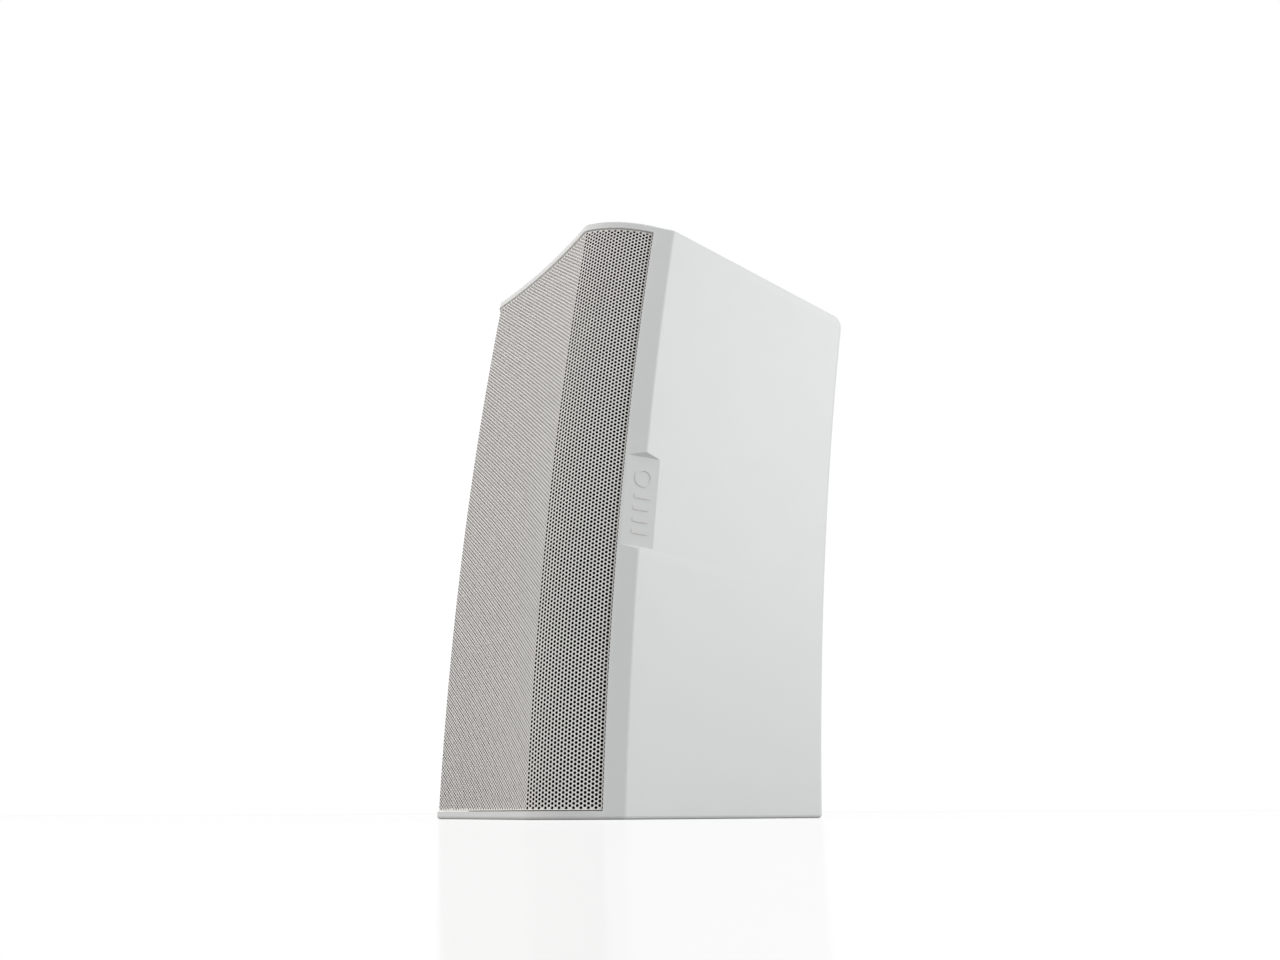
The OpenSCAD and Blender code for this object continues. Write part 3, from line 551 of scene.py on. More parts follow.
def perforated_columns(name, columns, rows):
    """Sheet of whole columns of holes. Each cell is a hexagon with a round hole through it."""
    pitch_v = 1.0 / rows
    hex_r = HOLE_PITCH / math.sqrt(3)
    local = np.array(circle(hex_r, 6) + circle(HOLE_R, HOLE_SIDES))
    n_local = len(local)
    per = HOLE_SIDES // 6
    tris = []
    for k in range(6):
        a, b = k, (k + 1) % 6
        ids = [6 + (per * k + j) % HOLE_SIDES for j in range(per + 1)]
        mid = per // 2
        for j in range(per):
            tris.append((a if j < mid else b, ids[j + 1], ids[j]))
        tris.append((a, b, ids[mid]))
    back = [(a + n_local, c + n_local, b + n_local) for a, b, c in tris]
    wall = []
    for k in range(HOLE_SIDES):
        a, b = 6 + k, 6 + (k + 1) % HOLE_SIDES
        wall += [(a, b, b + n_local), (a, b + n_local, a + n_local)]
    cell = np.array(tris + back + wall)
    s_list, v_list, half_s = [], [], []
    for c in columns:
        s0 = c * COLUMN_STEP
        odd = (c + SIDE_COLUMNS) % 2
        count = rows - 1 if odd else rows
        s_list += [s0] * count
        v_list += [(k + 1 if odd else k + 0.5) * pitch_v for k in range(count)]
        if odd:
            half_s.append(s0)
    s0, v0 = np.array(s_list), np.array(v_list)
    to_v = pitch_v / HOLE_PITCH
    s = s0[:, None] + local[None, :, 0]
    v = v0[:, None] + local[None, :, 1] * to_v
    s = np.clip(s, -EDGE_S, EDGE_S)
    front_pts = grille_point(s, v, 0.0)
    back_pts = grille_point(s, v, VISIBLE_T)
    verts = np.concatenate([front_pts, back_pts], 1).reshape(-1, 3)
    base = np.arange(len(s0))[:, None, None] * (2 * n_local)
    faces = (cell[None] + base).reshape(-1, 3)
    # half cells at the ends of every other column
    extra_v, extra_f = [], []
    off = len(verts)
    for s_mid in half_s:
        for v_end, up in ((0.0, 1), (1.0, -1)):
            pts_s = [s_mid - hex_r, s_mid + hex_r, s_mid + hex_r / 2, s_mid - hex_r / 2]
            pts_v = [v_end, v_end, v_end + up * 0.5 * pitch_v, v_end + up * 0.5 * pitch_v]
            for d in (0.0, VISIBLE_T):
                extra_v.append(grille_point(np.clip(pts_s, -EDGE_S, EDGE_S), np.array(pts_v), d))
            quad = [(0, 1, 2), (0, 2, 3)] if up > 0 else [(0, 2, 1), (0, 3, 2)]
            extra_f += [(a + off, b + off, c + off) for a, b, c in quad]
            extra_f += [(a + off + 4, c + off + 4, b + off + 4) for a, b, c in quad]
            off += 8
    verts = np.concatenate([verts] + extra_v)
    faces = np.concatenate([faces, np.array(extra_f)])
    return object_from_arrays(name, verts, faces, M["grille_paint"])


def bow_half_length():
    return BOW_R * math.asin((HALF_H - BAR_H - GAP) / BOW_R)


EDGE_S = HOLLOW_LEN + FACET_LEN
# Whole columns of holes that fit on each side of the middle, clear of the edge
SIDE_COLUMNS = int((EDGE_S - 1.6) / COLUMN_STEP)


def edge_frame(name):
    """Rolled edge round the sheet: a rounded lip on the face and a flange turned back."""
    lip, flange = 0.6, 5.0
    rise = np.linspace(0, 1, 60, endpoint=False)
    run = np.linspace(-1, 1, 90, endpoint=False)
    # each point with its direction towards the middle of the sheet
    loop = [(EDGE_S, v, -1.0, 0.0) for v in rise] + [(-EDGE_S * t, 1.0, 0.0, -1.0) for t in run]
    loop += [(-EDGE_S, 1 - v, 1.0, 0.0) for v in rise] + [(EDGE_S * t, 0.0, 0.0, 1.0) for t in run]
    height = 2 * bow_half_length()
    # section: inward distance from the sheet's edge and depth behind its face
    section = [(lip, 0.02), (lip, -0.02), (0.35, -0.02), (0.1, 0.1), (0.0, 0.35), (0.0, flange),
               (0.5, flange), (0.5, 0.8), (lip, 0.55)]
    verts, faces = [], []
    for s, v, du, dv in loop:
        for inward, depth in section:
            at_s = s + du * inward
            at_v = v + dv * inward / height
            verts.append(grille_point(np.array(at_s), np.array(at_v), depth))
    n, m = len(loop), len(section)
    for i in range(n):
        j = (i + 1) % n
        for k in range(m):
            q = (k + 1) % m
            faces.append((i * m + k, j * m + k, j * m + q, i * m + q))
    return object_from_faces(name, verts, faces, M["grille_paint"])


def build_grille():
    rows = int(round(2 * bow_half_length() / HOLE_PITCH))
    columns = range(-SIDE_COLUMNS, SIDE_COLUMNS + 1)
    # eight pieces of whole columns; eight pieces, so that none is too large for the
    # export
    groups = 8
    size = math.ceil(len(columns) / groups)
    for g in range(groups):
        part = columns[g * size:(g + 1) * size]
        obj = perforated_columns(f"grille_sheet_{g + 1}", part, rows)
        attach(obj, "grille_panel")
        if g == 0:
            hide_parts("grille")
    rim = edge_frame("grille_edge")
    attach(rim, "grille_panel")


def build_scrim():
    """Black acoustic cloth stretched behind the sheet."""
    across, along, thick = 160, 40, 0.35
    front_depth, inset = 1.0, 2.0
    span = EDGE_S - inset
    height = 2 * bow_half_length()
    lo, hi = inset / height, 1 - inset / height
    s = np.linspace(-span, span, across + 1)
    v = np.linspace(lo, hi, along + 1)
    ss, vv = np.meshgrid(s, v)
    outer = grille_point(ss.ravel(), vv.ravel(), front_depth)
    inner = grille_point(ss.ravel(), vv.ravel(), front_depth + thick)
    n = (across + 1) * (along + 1)
    at = lambda i, j: i * (across + 1) + j
    faces = []
    for i in range(along):
        for j in range(across):
            faces.append((at(i, j), at(i, j + 1), at(i + 1, j + 1), at(i + 1, j)))
            faces.append((n + at(i, j), n + at(i + 1, j), n + at(i + 1, j + 1), n + at(i, j + 1)))
    border = [at(0, j) for j in range(across)] + [at(i, across) for i in range(along)]
    border += [at(along, j) for j in range(across, 0, -1)] + [at(i, 0) for i in range(along, 0, -1)]
    for k, a in enumerate(border):
        b = border[(k + 1) % len(border)]
        faces.append((a, n + a, n + b, b))
    obj = object_from_faces("scrim_cloth", list(outer) + list(inner), faces, M["scrim"])
    shade(obj)
    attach(obj, "grille_panel")
    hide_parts("grille_scrim")


# ---- cabinet moulding
RIDGE_FILLET, CREASE_FILLET, REAR_FILLET = 13.0, 5.0, 6.0
LOW_RIM, HIGH_RIM = 2.6, 1.8
TOP_REAR_R, LOW_REAR_R = 15.0, 3.5


def side_x(y):
    return CREASE[0] + (REAR[0] - CREASE[0]) * (y - CREASE[1]) / (REAR[1] - CREASE[1])


def fillet(corner, before, after, radius, steps):
    """Points of an arc that rounds a plan corner."""
    c, a, b = (Vector((p[0], p[1])) for p in (corner, before, after))
    u, w = (a - c).normalized(), (b - c).normalized()
    half = u.angle(w) / 2
    centre = c + (u + w).normalized() * (radius / math.sin(half))
    p0, p1 = c + u * (radius / math.tan(half)), c + w * (radius / math.tan(half))
    a0 = math.atan2(p0.y - centre.y, p0.x - centre.x)
    a1 = math.atan2(p1.y - centre.y, p1.x - centre.x)
    turn = (a1 - a0 + math.pi) % (2 * math.pi) - math.pi
    angles = [a0 + turn * i / steps for i in range(steps + 1)]
    return [(centre.x + radius * math.cos(a), centre.y + radius * math.sin(a)) for a in angles]


def cabinet_plan():
    """Right half of the outer plan outline, from mid front to mid rear."""
    edge = facet_pt(FACET_END, RECESS)
    half = [hollow_pt(HOLLOW_END * i / 10, RECESS) for i in range(10)]
    before, after = hollow_pt(HOLLOW_END * 0.9, RECESS), facet_pt(FACET_START + 0.05, RECESS)
    half += fillet(ridge_pt(RECESS), before, after, RIDGE_FILLET, 8)
    sweep = FACET_END - FACET_START
    half += [facet_pt(FACET_START + sweep * i / 16, RECESS) for i in range(2, 17)]
    half += fillet(CREASE, edge, REAR, CREASE_FILLET, 6)
    half += fillet(REAR, CREASE, (0, REAR[1]), REAR_FILLET, 14)
    half += [(REAR[0] * (1 - i / 6), REAR[1]) for i in range(1, 7)]
    return half


def ring_normals(ring):
    """Outward unit normals of a closed counter-clockwise plan polygon."""
    p = np.array(ring)
    e = np.roll(p, -1, 0) - p
    e /= np.linalg.norm(e, axis=1)[:, None]
    n = np.stack([e[:, 1], -e[:, 0]], 1)
    m = n + np.roll(n, 1, 0)
    m /= np.linalg.norm(m, axis=1)[:, None]
    cosine = np.maximum((m * n).sum(1), 0.5)
    return m / cosine[:, None]


def cabinet_body():
    """Closed outer skin with rounded top and bottom rims, swept along the bow."""
    half = cabinet_plan()
    ring = np.array(half + [(-x, y) for x, y in reversed(half[1:-1])])
    normals = ring_normals(ring)
    steps, rows = 12, 40
    levels = [math.pi / 2 * k / steps for k in range(steps + 1)]
    verts = []

    def add_ring(a, share):
        rim = LOW_RIM if share < 0.5 else HIGH_RIM
        plan = ring - normals * rim * (1 - math.sin(a))
        low = bow_angle_at_plane(plan[:, 1], LOW_RIM * (1 - math.cos(a)), False)
        high = bow_angle_at_plane(plan[:, 1], HIGH_RIM * (1 - math.cos(a)), True)
        verts.extend(standing(bowed(plan, low + (high - low) * share)))

    for a in levels:
        add_ring(a, 0.0)
    for r in range(1, rows):
        add_ring(math.pi / 2, r / rows)
    for a in reversed(levels):
        add_ring(a, 1.0)
    n = len(ring)
    return object_from_faces("cabinet_moulding", verts, tube_faces(len(verts) // n - 1, n))


def chord_prism(points_yz, x0, x1):
    """Solid between two x planes from a polygon in the chord frame's y and z."""
    verts = [standing((x, y, z)) for x in (x0, x1) for y, z in points_yz]
    return outward(object_from_faces("cutter", verts, tube_faces(1, len(points_yz))))


def between_ends_box(x, y0, y1, inset):
    """Box in x and y, bounded above and below by the end planes, inset from them."""
    top = HALF_H - inset / math.cos(TOP_SLOPE)
    low = -HALF_H + inset / math.cos(LEAN)
    lower = [(y, low + math.tan(LEAN) * (y - FRONT_Y)) for y in (y0, y1)]
    upper = [(y, top - math.tan(TOP_SLOPE) * (y - FRONT_Y)) for y in (y1, y0)]
    return chord_prism(lower + upper, -x, x)


def rear_edge_cutter(top, radius):
    """Rounds the edge between the rear and the top or bottom."""
    up = 1 if top else -1
    tilt = TOP_SLOPE if top else LEAN
    a = float(bow_angle_at_plane(REAR[1], 0.0, top))
    rho = BOW_R - REAR[1]
    corner = Vector((BOW_R - rho * math.cos(a), rho * math.sin(a)))
    forward = Vector((-math.cos(tilt), up * math.sin(tilt)))
    inward = Vector((-math.sin(abs(a)), -up * math.cos(a)))
    arc = [Vector(p) for p in fillet(corner, corner + forward, corner + inward, radius, 12)]
    clear = 6.0
    beyond = corner - (forward + inward) * clear
    outline = [arc[0] - inward * clear] + arc + [arc[-1] - forward * clear, beyond]
    return chord_prism(outline, -200, 200)


def rod(centre, direction, radius, length, sides=48):
    """Closed cylinder from a row-frame point along a direction."""
    d = Vector(direction).normalized()
    turn = d.to_track_quat("Z", "Y").to_matrix()
    verts = [Vector(centre) + turn @ Vector((x, y, h))
             for h in (0.0, length) for x, y in circle(radius, sides)]
    return object_from_faces("cutter", verts, tube_faces(1, sides))


def badge_cutter(side):
    """Pocket for the badge: a flat floor with sloped ends. A flare is run over rise."""
    floor_half, middle = 34.4, 1.0
    flare_low, flare_high = 0.6, 1.0
    start = Vector(facet_pt(FACET_END, RECESS))
    rear_y = 64.0
    end = Vector((side_x(rear_y), rear_y))
    along = (end - start).normalized()
    out = Vector((along.y, -along.x))
    a, b, rise = start - along * 20, end + along * 22, 7.0
    pts = []
    for floor_z, flare in ((middle - floor_half, -flare_low), (middle + floor_half, flare_high)):
        for p, lift in ((a, 0), (b, 0), (b, rise), (a, rise)):
            q = p + out * lift
            pts.append(standing((q.x * side, q.y, floor_z + flare * lift)))
    return outward(object_from_faces("cutter", pts, tube_faces(1, 4)))


CUP_TILT = math.radians(2.8)
CUP_W, CUP_H, CUP_SEAT, CUP_IN_W, CUP_IN_H, CUP_WALL = 120.0, 72.0, 3.0, 96.0, 48.0, 2.5
MOUNT_DX, MOUNT_DZ, INSERT_R, INSERT_LEN = 63.5, 35.0, 4.5, 12.0


def cup_point(x, y, z):
    """A point given from the cup's face centre, to the chord frame."""
    c, s = math.cos(CUP_TILT), math.sin(CUP_TILT)
    yy = y - (BOW_R - REAR[1])
    return (x, BOW_R + yy * c - z * s, yy * s + z * c)


def cup_box(x, y0, y1, z):
    """Box across the cup, from y0 to y1 behind its face."""
    rim = [(-x, -z), (x, -z), (x, z), (-x, z)]
    pts = [standing(cup_point(a, y, b)) for y in (y0, y1) for a, b in rim]
    return outward(object_from_faces("cutter", pts, tube_faces(1, 4)))


def build_cabinet():
    """Moulded shell: front opening, ledge, hollow, rounded rear edges, badges, cup and bores."""
    body = outward(cabinet_body())
    edge_x = facet_pt(FACET_END, 0.0)[0]
    ledge_x = edge_x - 1.5
    cut(body, between_ends_box(edge_x + GAP, -60, 50.0, BAR_H))
    cut(body, between_ends_box(ledge_x, 49.0, LEDGE_Y, BAR_H))
    inner_x = ledge_x - LEDGE_W
    cut(body, between_ends_box(inner_x, LEDGE_Y - 1, LEDGE_Y + 20, BAR_H + LEDGE_W))
    cut(body, cavity())
    cut(body, rear_edge_cutter(True, TOP_REAR_R))
    cut(body, rear_edge_cutter(False, LOW_REAR_R))
    for side in (1, -1):
        cut(body, badge_cutter(side))
    loose, wall = 0.3, CUP_WALL + 0.5
    cut(body, cup_box(CUP_W / 2 + loose, -CUP_SEAT, 20, CUP_H / 2 + loose))
    cut(body, cup_box(CUP_IN_W / 2 + wall, -20, 20, CUP_IN_H / 2 + wall))
    # bores for the inserts: four in the rear, one in the base and one in the top
    bores = [(standing((x, REAR[1] - INSERT_LEN - 4, z)), standing_dir((0, 1, 0)))
             for x in (-MOUNT_DX, MOUNT_DX) for z in (-MOUNT_DZ, MOUNT_DZ)]
    bores.append(((0, 0, -0.005), (0, 0, 1)))
    tilt = LEAN + TOP_SLOPE
    up = Vector((0, math.sin(tilt), math.cos(tilt)))
    bores.append((top_insert_mouth() - up * 0.02, up))
    for start, direction in bores:
        cut(body, rod(start, direction, INSERT_R * MM, 0.03))
    edge_r, bevel_from, sharp_from = 0.4, 38, 9
    soften(body, edge_r, 3, bevel_from)
    dress(body, M["moulding"])
    for p in body.data.polygons:
        p.material_index = 0
    shade(body, sharp_from)
    even = body.modifiers.new("normals", "WEIGHTED_NORMAL")
    even.mode = "FACE_AREA"
    even.weight = 100
    even.keep_sharp = True
    apply_modifiers(body)
    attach(body, "enclosure")
    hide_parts("cabinet_shell")
    return body


def top_insert_mouth():
    """Middle of the mouth of the insert in the top, in the row frame."""
    reach = HALF_H * math.cos(TOP_SLOPE) + FRONT_Y * math.sin(TOP_SLOPE)
    y = YOKE_Y * math.cos(TOP_SLOPE) + reach * math.sin(TOP_SLOPE)
    z = reach * math.cos(TOP_SLOPE) - YOKE_Y * math.sin(TOP_SLOPE)
    return Vector(standing((0, y, z)))


def cavity():
    """Hollow of the cabinet behind the ledge, swept along the bow."""
    y0, y1 = LEDGE_Y + 8, REAR[1] - WALL
    x0, x1 = side_x(y0) - WALL, side_x(y1) - WALL
    plan = np.array([(x0, y0), (x1, y1), (-x1, y1), (-x0, y0)])
    rows = 12
    low = bow_angle_at_plane(plan[:, 1], WALL, False)
    # the ceiling drops towards the rear, clear of the rounded edge
    high = bow_angle_at_plane(plan[:, 1], np.array([WALL, 12.0, 12.0, WALL]), True)
    verts = []
    for r in range(rows + 1):
        verts.extend(standing(bowed(plan, low + (high - low) * r / rows)))
    return outward(object_from_faces("cutter", verts, tube_faces(rows, len(plan))))


# ---- fittings
def islands(name):
    """Points of each separate solid of a CAD node, in the row frame and in the mesh's order."""
    bm = bmesh.new()
    bm.from_mesh(NODES[name].data)
    bmesh.ops.remove_doubles(bm, verts=bm.verts, dist=1e-6)
    todo, found = set(bm.verts), []
    for first in bm.verts:
        if first not in todo:
            continue
        todo.remove(first)
        stack, group = [first], []
        while stack:
            v = stack.pop()
            group.append(v.co.copy())
            for e in v.link_edges:
                w = e.other_vert(v)
                if w in todo:
                    todo.remove(w)
                    stack.append(w)
        found.append(np.array(group))
    bm.free()
    return found


def revolve(profile, sides=48):
    """Mesh data of a closed profile of (radius, height) turned about z; radius 0 ends close it."""
    verts, faces, rings = [], [], []
    for r, h in profile:
        if r < 1e-9:
            rings.append([len(verts)])
            verts.append((0, 0, h))
        else:
            rings.append(list(range(len(verts), len(verts) + sides)))
            verts += [(x, y, h) for x, y in circle(r, sides)]
    for a, b in zip(rings, rings[1:]):
        for i in range(sides):
            j = (i + 1) % sides
            if len(a) == 1 and len(b) > 1:
                faces.append((a[0], b[j], b[i]))
            elif len(b) == 1 and len(a) > 1:
                faces.append((a[i], a[j], b[0]))
            elif len(a) > 1:
                faces.append((a[i], a[j], b[j], b[i]))
    return verts, faces


def turned(name, profile, material, sides=48, closed=True):
    """A turned solid about z from an open or closed profile, in millimetres."""
    verts, faces = revolve(profile + [profile[0]] if closed else profile, sides)
    obj = object_from_faces(name, [Vector(v) * MM for v in verts], faces, material)
    return outward(obj, 1e-7)


def block(name, x, y, z, material=None):
    """A box in local millimetres from three (low, high) pairs."""
    verts = [Vector((a, b, c)) * MM for a in x for b in y for c in z]
    faces = [(0, 1, 3, 2), (4, 6, 7, 5), (0, 4, 5, 1), (2, 3, 7, 6), (0, 2, 6, 4), (1, 5, 7, 3)]
    return outward(object_from_faces(name, verts, faces, material))


def joined(name, objs):
    """Several meshes as one object, keeping their materials."""
    for o in bpy.context.selected_objects:
        o.select_set(False)
    for o in objs:
        o.select_set(True)
    bpy.context.view_layer.objects.active = objs[0]
    bpy.ops.object.join()
    objs[0].name = name
    return objs[0]


def cross_head_template(head_r, head_t, shank_r, shank_l, material):
    """Domed screw with a cross recess, its top at z 0, and a threaded shank below."""
    r, t = head_r, head_t
    profile = [(0, 0)]
    for k in range(1, 9):
        a = math.radians(90) * k / 8
        profile.append((r * math.sin(a), -t * 0.8 * (1 - math.cos(a))))
    profile += [(r, -t + 0.15), (r - 0.15, -t), (shank_r, -t)]
    turns = max(2, int(shank_l / 0.9))
    step, root_r = shank_l / turns, shank_r - 0.3
    for k in range(turns):
        z = -t - step * k
        profile += [(root_r, z - step * 0.15), (shank_r, z - step * 0.5), (root_r, z - step * 0.85)]
    profile += [(shank_r * 0.6, -t - shank_l), (0, -t - shank_l)]
    head = turned("screw", profile, material, 40, closed=False)
    for turn in (0, math.pi / 2):
        arm = block("arm", (-r * 0.6, r * 0.6), (-r * 0.13, r * 0.13), (-t * 0.72, 1.0))
        for v in arm.data.vertices:
            if v.co.z < 0:
                v.co.x *= 0.45
                v.co.y *= 0.8
        arm.data.transform(Matrix.Rotation(turn, 4, "Z"))
        cut(head, arm)
    dress(head, material)
    return head


def screws(name, node_name, outward_axis, head, shank, body, material):
    """Rebuilds each screw of a node as a domed cross-head screw of the same size."""
    axis = Vector(outward_axis).normalized()
    a = np.array(axis)
    side = np.array(Vector((1, 0, 0)) - axis * axis.x)
    side /= np.linalg.norm(side)
    up = np.cross(a, side)
    template = cross_head_template(*head, *shank, material)
    base = np.array([v.co for v in template.data.vertices])
    polys = [tuple(p.vertices) for p in template.data.polygons]
    verts, faces = [], []
    for k, pts in enumerate(islands(node_name)):
        t, u, w = pts @ a, pts @ side, pts @ up
        centre = a * t.max() + side * (u.max() + u.min()) / 2 + up * (w.max() + w.min()) / 2
        turn = math.radians(37 * k + 11)
        c, s = math.cos(turn), math.sin(turn)
        x = side * c + up * s
        y = -side * s + up * c
        off = len(verts)
        verts += list(centre + base[:, :1] * x + base[:, 1:2] * y + base[:, 2:3] * a)
        faces += [tuple(i + off for i in f) for f in polys]
    bpy.data.objects.remove(template)
    obj = object_from_faces(name, verts, faces, material)
    shade(obj, 30)
    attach(obj, body)
    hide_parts(node_name)


def build_screws():
    """Each set has a head radius and height, then a shank radius and length."""
    ahead = -standing_dir((0, 1, 0))
    for part, head, shank in (("baffle", (3.8, 2.4), (2.1, 15.0)),
                              ("woofer", (4.2, 2.6), (2.2, 9.0)),
                              ("waveguide", (3.0, 2.0), (1.6, 8.0))):
        screws(part + "_cross_heads", part + "_screws", ahead, head, shank,
               "enclosure", M["black_zinc"])
    screws("cup_cross_heads", "input_screws", cup_place_axis(), (3.2, 2.0), (1.8, 3.0),
           "enclosure", M["steel"])


def cup_place_axis():
    """Direction straight out of the cup, in the row frame."""
    p0 = Vector(standing(cup_point(0, 0, 0)))
    p1 = Vector(standing(cup_point(0, 1, 0)))
    return (p1 - p0).normalized()


KNOB_X, CUP_DEPTH = 25.0, 26.0


def cup_frame(obj, x, y, z=0.0):
    """Places a mesh built with local z out of the cup and local y up its face."""
    out = cup_place_axis()
    p0 = Vector(standing(cup_point(0, 0, 0)))
    up = (Vector(standing(cup_point(0, 0, 1))) - p0).normalized()
    return posed(obj, standing(cup_point(x, y, z)), up.cross(out), up, out)


def build_knob():
    """Selector knob: a fluted skirt with a tapered pointer bar and an inlaid line."""
    flutes, per = 30, 6
    n = flutes * per
    levels = [(9.4, 0.0), (10.0, 0.5), (10.0, 4.2), (9.3, 5.0)]
    verts = []
    for r, h in levels:
        for i in range(n):
            a = 2 * math.pi * i / n
            dip = 0.45 * max(0.0, math.cos(flutes * a)) if 0.2 < h < 4.5 else 0.0
            verts.append(Vector(((r - dip) * math.cos(a), (r - dip) * math.sin(a), h)) * MM)
    skirt = object_from_faces("skirt", verts, tube_faces(len(levels) - 1, n), M["black_plastic"])
    bar = block("bar", (-2.9, 2.9), (-9.1, 9.1), (4.6, 14.0), M["black_plastic"])
    for v in bar.data.vertices:
        if v.co.z > 0.01:
            v.co.x *= 0.72
            v.co.y *= 0.94
    soften(bar, 0.9, 3)
    shade(skirt, 40)
    shade(bar, 40)
    line = block("line", (-0.45, 0.45), (1.5, 8.2), (13.7, 14.05), M["emblem"])
    soften(line, 0.1, 1)
    knob = joined("selector_knob", [skirt, bar, line])
    cup_frame(knob, KNOB_X, -CUP_DEPTH + 3.0)
    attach(knob, "tap_selector")
    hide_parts("tap_knob")
    ticks = []
    for k in range(6):
        a = math.radians(-75 + 30 * k)
        tick = block("tick", (-0.35, 0.35), (11.6, 14.4), (-0.05, 0.25), M["emblem"])
        soften(tick, 0.08, 1)
        tick.data.transform(Matrix.Rotation(a, 4, "Z"))
        ticks.append(cup_frame(tick, KNOB_X, -CUP_DEPTH))
    dial = joined("selector_ticks", ticks)
    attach(dial, "enclosure")


PAD_T, PAD_W, PAD_L = 14.0, 105.0, 200.0
PAD_Y, PAD_Z = 90.0, -60.0


def build_pads():
    """Felt slabs on the side walls, with soft edges and a lumpy face."""
    slope = math.atan((CREASE[0] - REAR[0]) / (REAR[1] - CREASE[1]))
    c, s = math.cos(slope), math.sin(slope)
    nx, ny, nz = 12, 44, 84
    for side in (1, -1):
        verts, faces, index = [], [], {}

        def point(i, j, k):
            key = (i, j, k)
            if key not in index:
                u = i / nx
                x, y, z = -PAD_T * (1 - u), PAD_W * j / ny, PAD_L * k / nz
                edge = min(y, PAD_W - y, z, PAD_L - z)
                pull = 3.2 * math.exp(-edge / 3.5)
                lump = 1.1 * (noise.noise(Vector((y * 0.05 + side * 9, z * 0.05, 3.0))) + 0.45
                              * noise.noise(Vector((y * 0.21, z * 0.21, side * 5.0))))
                thick = (1 - u) * (pull + 0.9 + lump)
                x += max(0.0, min(thick, 6.0))
                inset = 0.9 * (0.5 + 0.5 * noise.noise(Vector((y * 0.13, z * 0.13, side * 2.0))))
                y += inset if j == 0 else (-inset if j == ny else 0)
                z += inset if k == 0 else (-inset if k == nz else 0)
                px = side_x(PAD_Y) - WALL - 1 + x * c - y * s
                py = PAD_Y + x * s + y * c
                verts.append(standing((px * side, py, PAD_Z + z)))
                index[key] = len(verts) - 1
            return index[key]

        # the two faces across each axis in turn
        for axis, (a, b) in enumerate(((ny, nz), (nx, nz), (nx, ny))):
            for end in (0, (nx, ny, nz)[axis]):
                for p in range(a):
                    for q in range(b):
                        cell = ((p, q), (p + 1, q), (p + 1, q + 1), (p, q + 1))
                        faces.append(tuple(point(*at[:axis], end, *at[axis:]) for at in cell))
        name = "felt_pad_right" if side > 0 else "felt_pad_left"
        pad = outward(object_from_faces(name, verts, faces, M["felt"]))
        shade(pad, 60)
        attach(pad, "enclosure")
        if side > 0:
            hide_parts("damping_pads")


WOOFER_Z = -104.0
SURROUND_Z = 16.0
CONE_R, ROLL_R, ROLL_H, COIL_R, SPIDER_Z = 76.0, 6.5, 5.0, 25.0, 70.0


def at_woofer(obj):
    """Places a mesh built with local z to the rear and local x across."""
    x, y, z = (standing_dir(v) for v in ((1, 0, 0), (0, 1, 0), (0, 0, 1)))
    return posed(obj, standing((0, 0, WOOFER_Z)), x, -z, y)


def moving_ring(obj, replaced):
    """Places a ring at the woofer, smooth-shaded, and hides the CAD node it replaces."""
    at_woofer(obj)
    shade(obj, 50)
    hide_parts(replaced)
    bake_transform(obj)


def build_woofer_soft():
    """Surround roll and corrugated spider."""
    centre = CONE_R + ROLL_R
    profile = []
    for grow, turns in ((0.5, range(17)), (-0.5, range(16, -1, -1))):
        for k in turns:
            a = math.pi * k / 16
            profile.append((centre + (ROLL_R + grow) * math.cos(a),
                            SURROUND_Z - (ROLL_H + grow) * math.sin(a)))
    roll = turned("surround_roll", profile, M["rubber"], 120)
    moving_ring(roll, "woofer_surround")
    n, waves, r_in, r_wave, r_out = 96, 4, COIL_R + 0.6, 51.0, 54.0
    mid_z, wave_h, thick = SPIDER_Z + 0.3, 1.4, 0.6
    top = [(r_in + (r_wave - r_in) * i / n, mid_z - wave_h * math.sin(2 * math.pi * waves * i / n))
           for i in range(n + 1)] + [(r_out, mid_z)]
    back = [(r, z + thick) for r, z in reversed(top)]
    spider = turned("spider_disc", top + back, M["spider"], 96)
    moving_ring(spider, "woofer_spider")


def build_emblem():
    """Rounds the edges of the raised ring and bars on the badge floor."""
    add_bevel(NODES["badge_emblems"], 0.18, 2, 40)


# ---- stage, light and camera
def either_shader(tree, share, first, second):
    """Mix of two shaders by a share or an output: 0 is the first, 1 the second."""
    mix = node(tree, "ShaderNodeMixShader", Fac=share)
    tree.links.new(first.outputs[0], mix.inputs[1])
    tree.links.new(second.outputs[0], mix.inputs[2])
    return mix


def build_stage():
    """Plain pale floor: white to the eye, with a faint soft reflection and a pale bounce."""
    mat = bpy.data.materials.new("studio_floor")
    mat.use_nodes = True
    tree = mat.node_tree
    tree.nodes.clear()
    bounce = node(tree, "ShaderNodeBsdfDiffuse", Color=(0.5, 0.5, 0.5, 1))
    pale = node(tree, "ShaderNodeBsdfDiffuse", Color=(0.09, 0.09, 0.09, 1))
    glow = node(tree, "ShaderNodeEmission", Color=(1, 1, 1, 1), Strength=0.93)
    both = node(tree, "ShaderNodeAddShader")
    tree.links.new(pale.outputs[0], both.inputs[0])
    tree.links.new(glow.outputs[0], both.inputs[1])
    haze = mapped(tree, noise_of(tree, coords(tree), 3.0), 0.08, 0.13)
    gloss = node(tree, "ShaderNodeBsdfGlossy", Color=(1, 1, 1, 1), Roughness=haze)
    seen = either_shader(tree, 0.14, both, gloss)
    path = node(tree, "ShaderNodeLightPath")
    pick = either_shader(tree, path.outputs["Is Camera Ray"], bounce, seen)
    node(tree, "ShaderNodeOutputMaterial", Surface=pick.outputs[0])
    half = 6.0
    corners = [(-half, -half, 0), (half, -half, 0), (half, half, 0), (-half, half, 0)]
    floor = object_from_faces("floor", corners, [(0, 1, 2, 3)], mat)


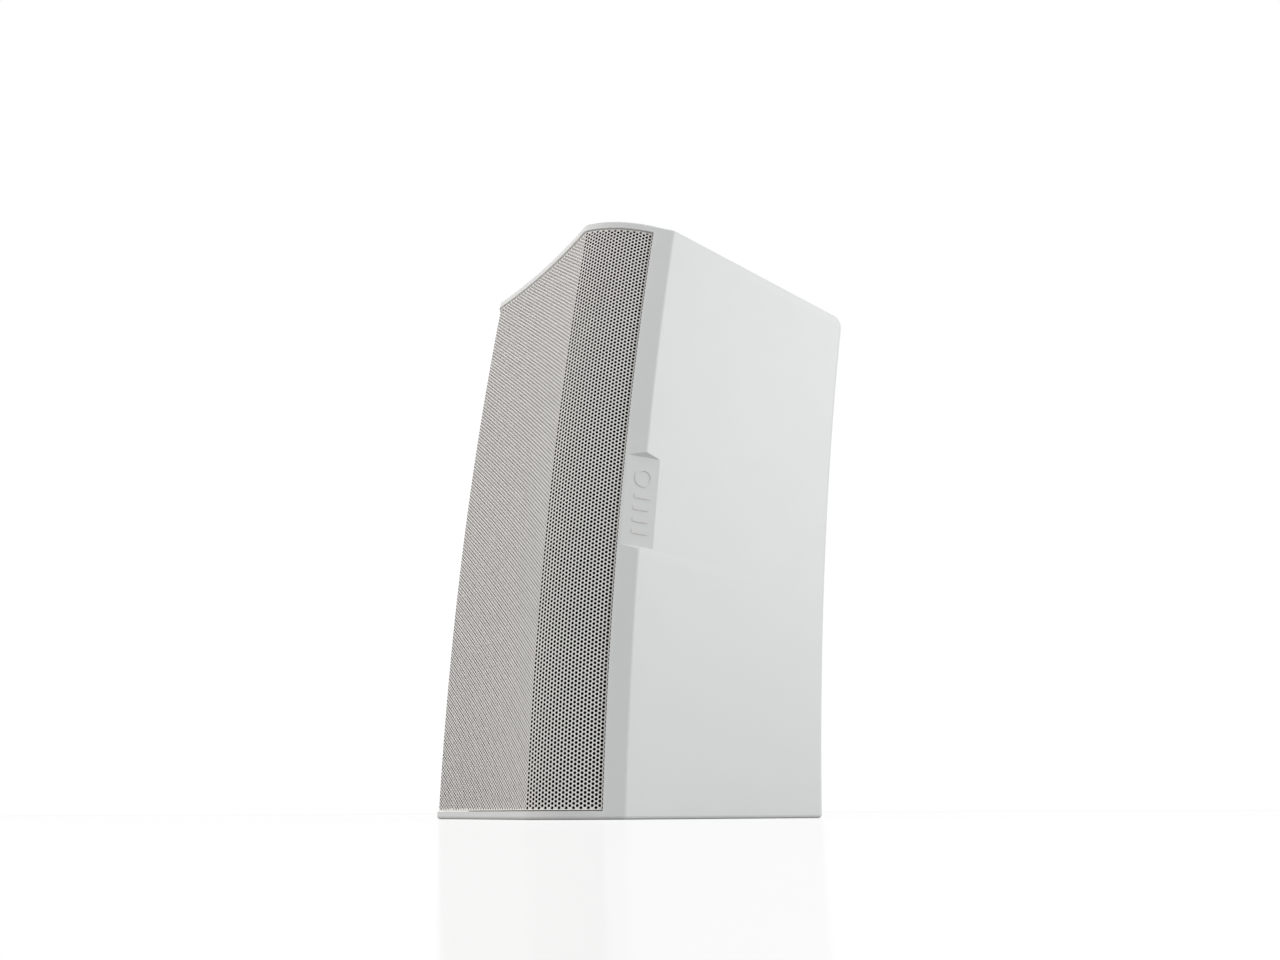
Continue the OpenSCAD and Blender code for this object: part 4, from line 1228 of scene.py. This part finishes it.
def area_light(name, place, target, size, power, colour=(1, 1, 1)):
    data = bpy.data.lights.new(name, "AREA")
    data.shape = "RECTANGLE"
    data.size, data.size_y = size
    data.energy = power
    data.color = colour
    obj = link(bpy.data.objects.new(name, data))
    obj.location = place
    obj.rotation_mode = "QUATERNION"
    obj.rotation_quaternion = (Vector(target) - Vector(place)).to_track_quat("-Z", "Y")


def build_light():
    """Pale world, bright to the eye and in reflections, and three soft lights."""
    world = bpy.data.worlds.new("studio")
    bpy.context.scene.world = world
    world.use_nodes = True
    tree = world.node_tree
    tree.nodes.clear()
    lit = node(tree, "ShaderNodeBackground", Color=(1, 1, 1, 1), Strength=0.42)
    seen = node(tree, "ShaderNodeBackground", Color=(1, 1, 1, 1), Strength=1.0)
    path = node(tree, "ShaderNodeLightPath")
    either = node(tree, "ShaderNodeMath", operation="MAXIMUM")
    tree.links.new(path.outputs["Is Camera Ray"], either.inputs[0])
    tree.links.new(path.outputs["Is Glossy Ray"], either.inputs[1])
    mix = either_shader(tree, either.outputs[0], lit, seen)
    node(tree, "ShaderNodeOutputWorld", Surface=mix.outputs[0])
    middle = (0, 0.02, 0.23)
    area_light("key", (2.3, 2.4, 1.3), middle, (1.9, 1.9), 56.0)
    area_light("top", (0.3, 0.0, 2.3), middle, (1.6, 1.6), 8.0)
    area_light("fill", (-0.6, -2.2, 1.2), middle, (2.0, 2.0), 28.0, (1.0, 0.965, 0.92))


def build_camera():
    """At the photograph's viewing angle: low, from the right, looking slightly up."""
    right = Vector((0.462501, 0.886609, -0.004191))
    ahead = Vector((-0.858721, 0.44912, 0.246759))
    data = bpy.data.cameras.new("camera")
    data.sensor_width = 36.0
    data.lens = 36.566
    data.clip_start = 0.02
    obj = link(bpy.data.objects.new("camera", data))
    ahead.normalize()
    up = right.cross(ahead).normalized()
    right = ahead.cross(up)
    turn = Matrix((right, up, -ahead)).transposed().to_4x4()
    obj.matrix_world = Matrix.Translation((0.96272, -0.48157, 0.00573)) @ turn
    bpy.context.scene.camera = obj
    bpy.context.scene.view_settings.view_transform = "Standard"


build_camera()
build_stage()
build_light()
dress_cad_nodes()
build_grille()
build_scrim()
build_cabinet()
build_screws()
build_knob()
build_pads()
build_woofer_soft()
build_emblem()
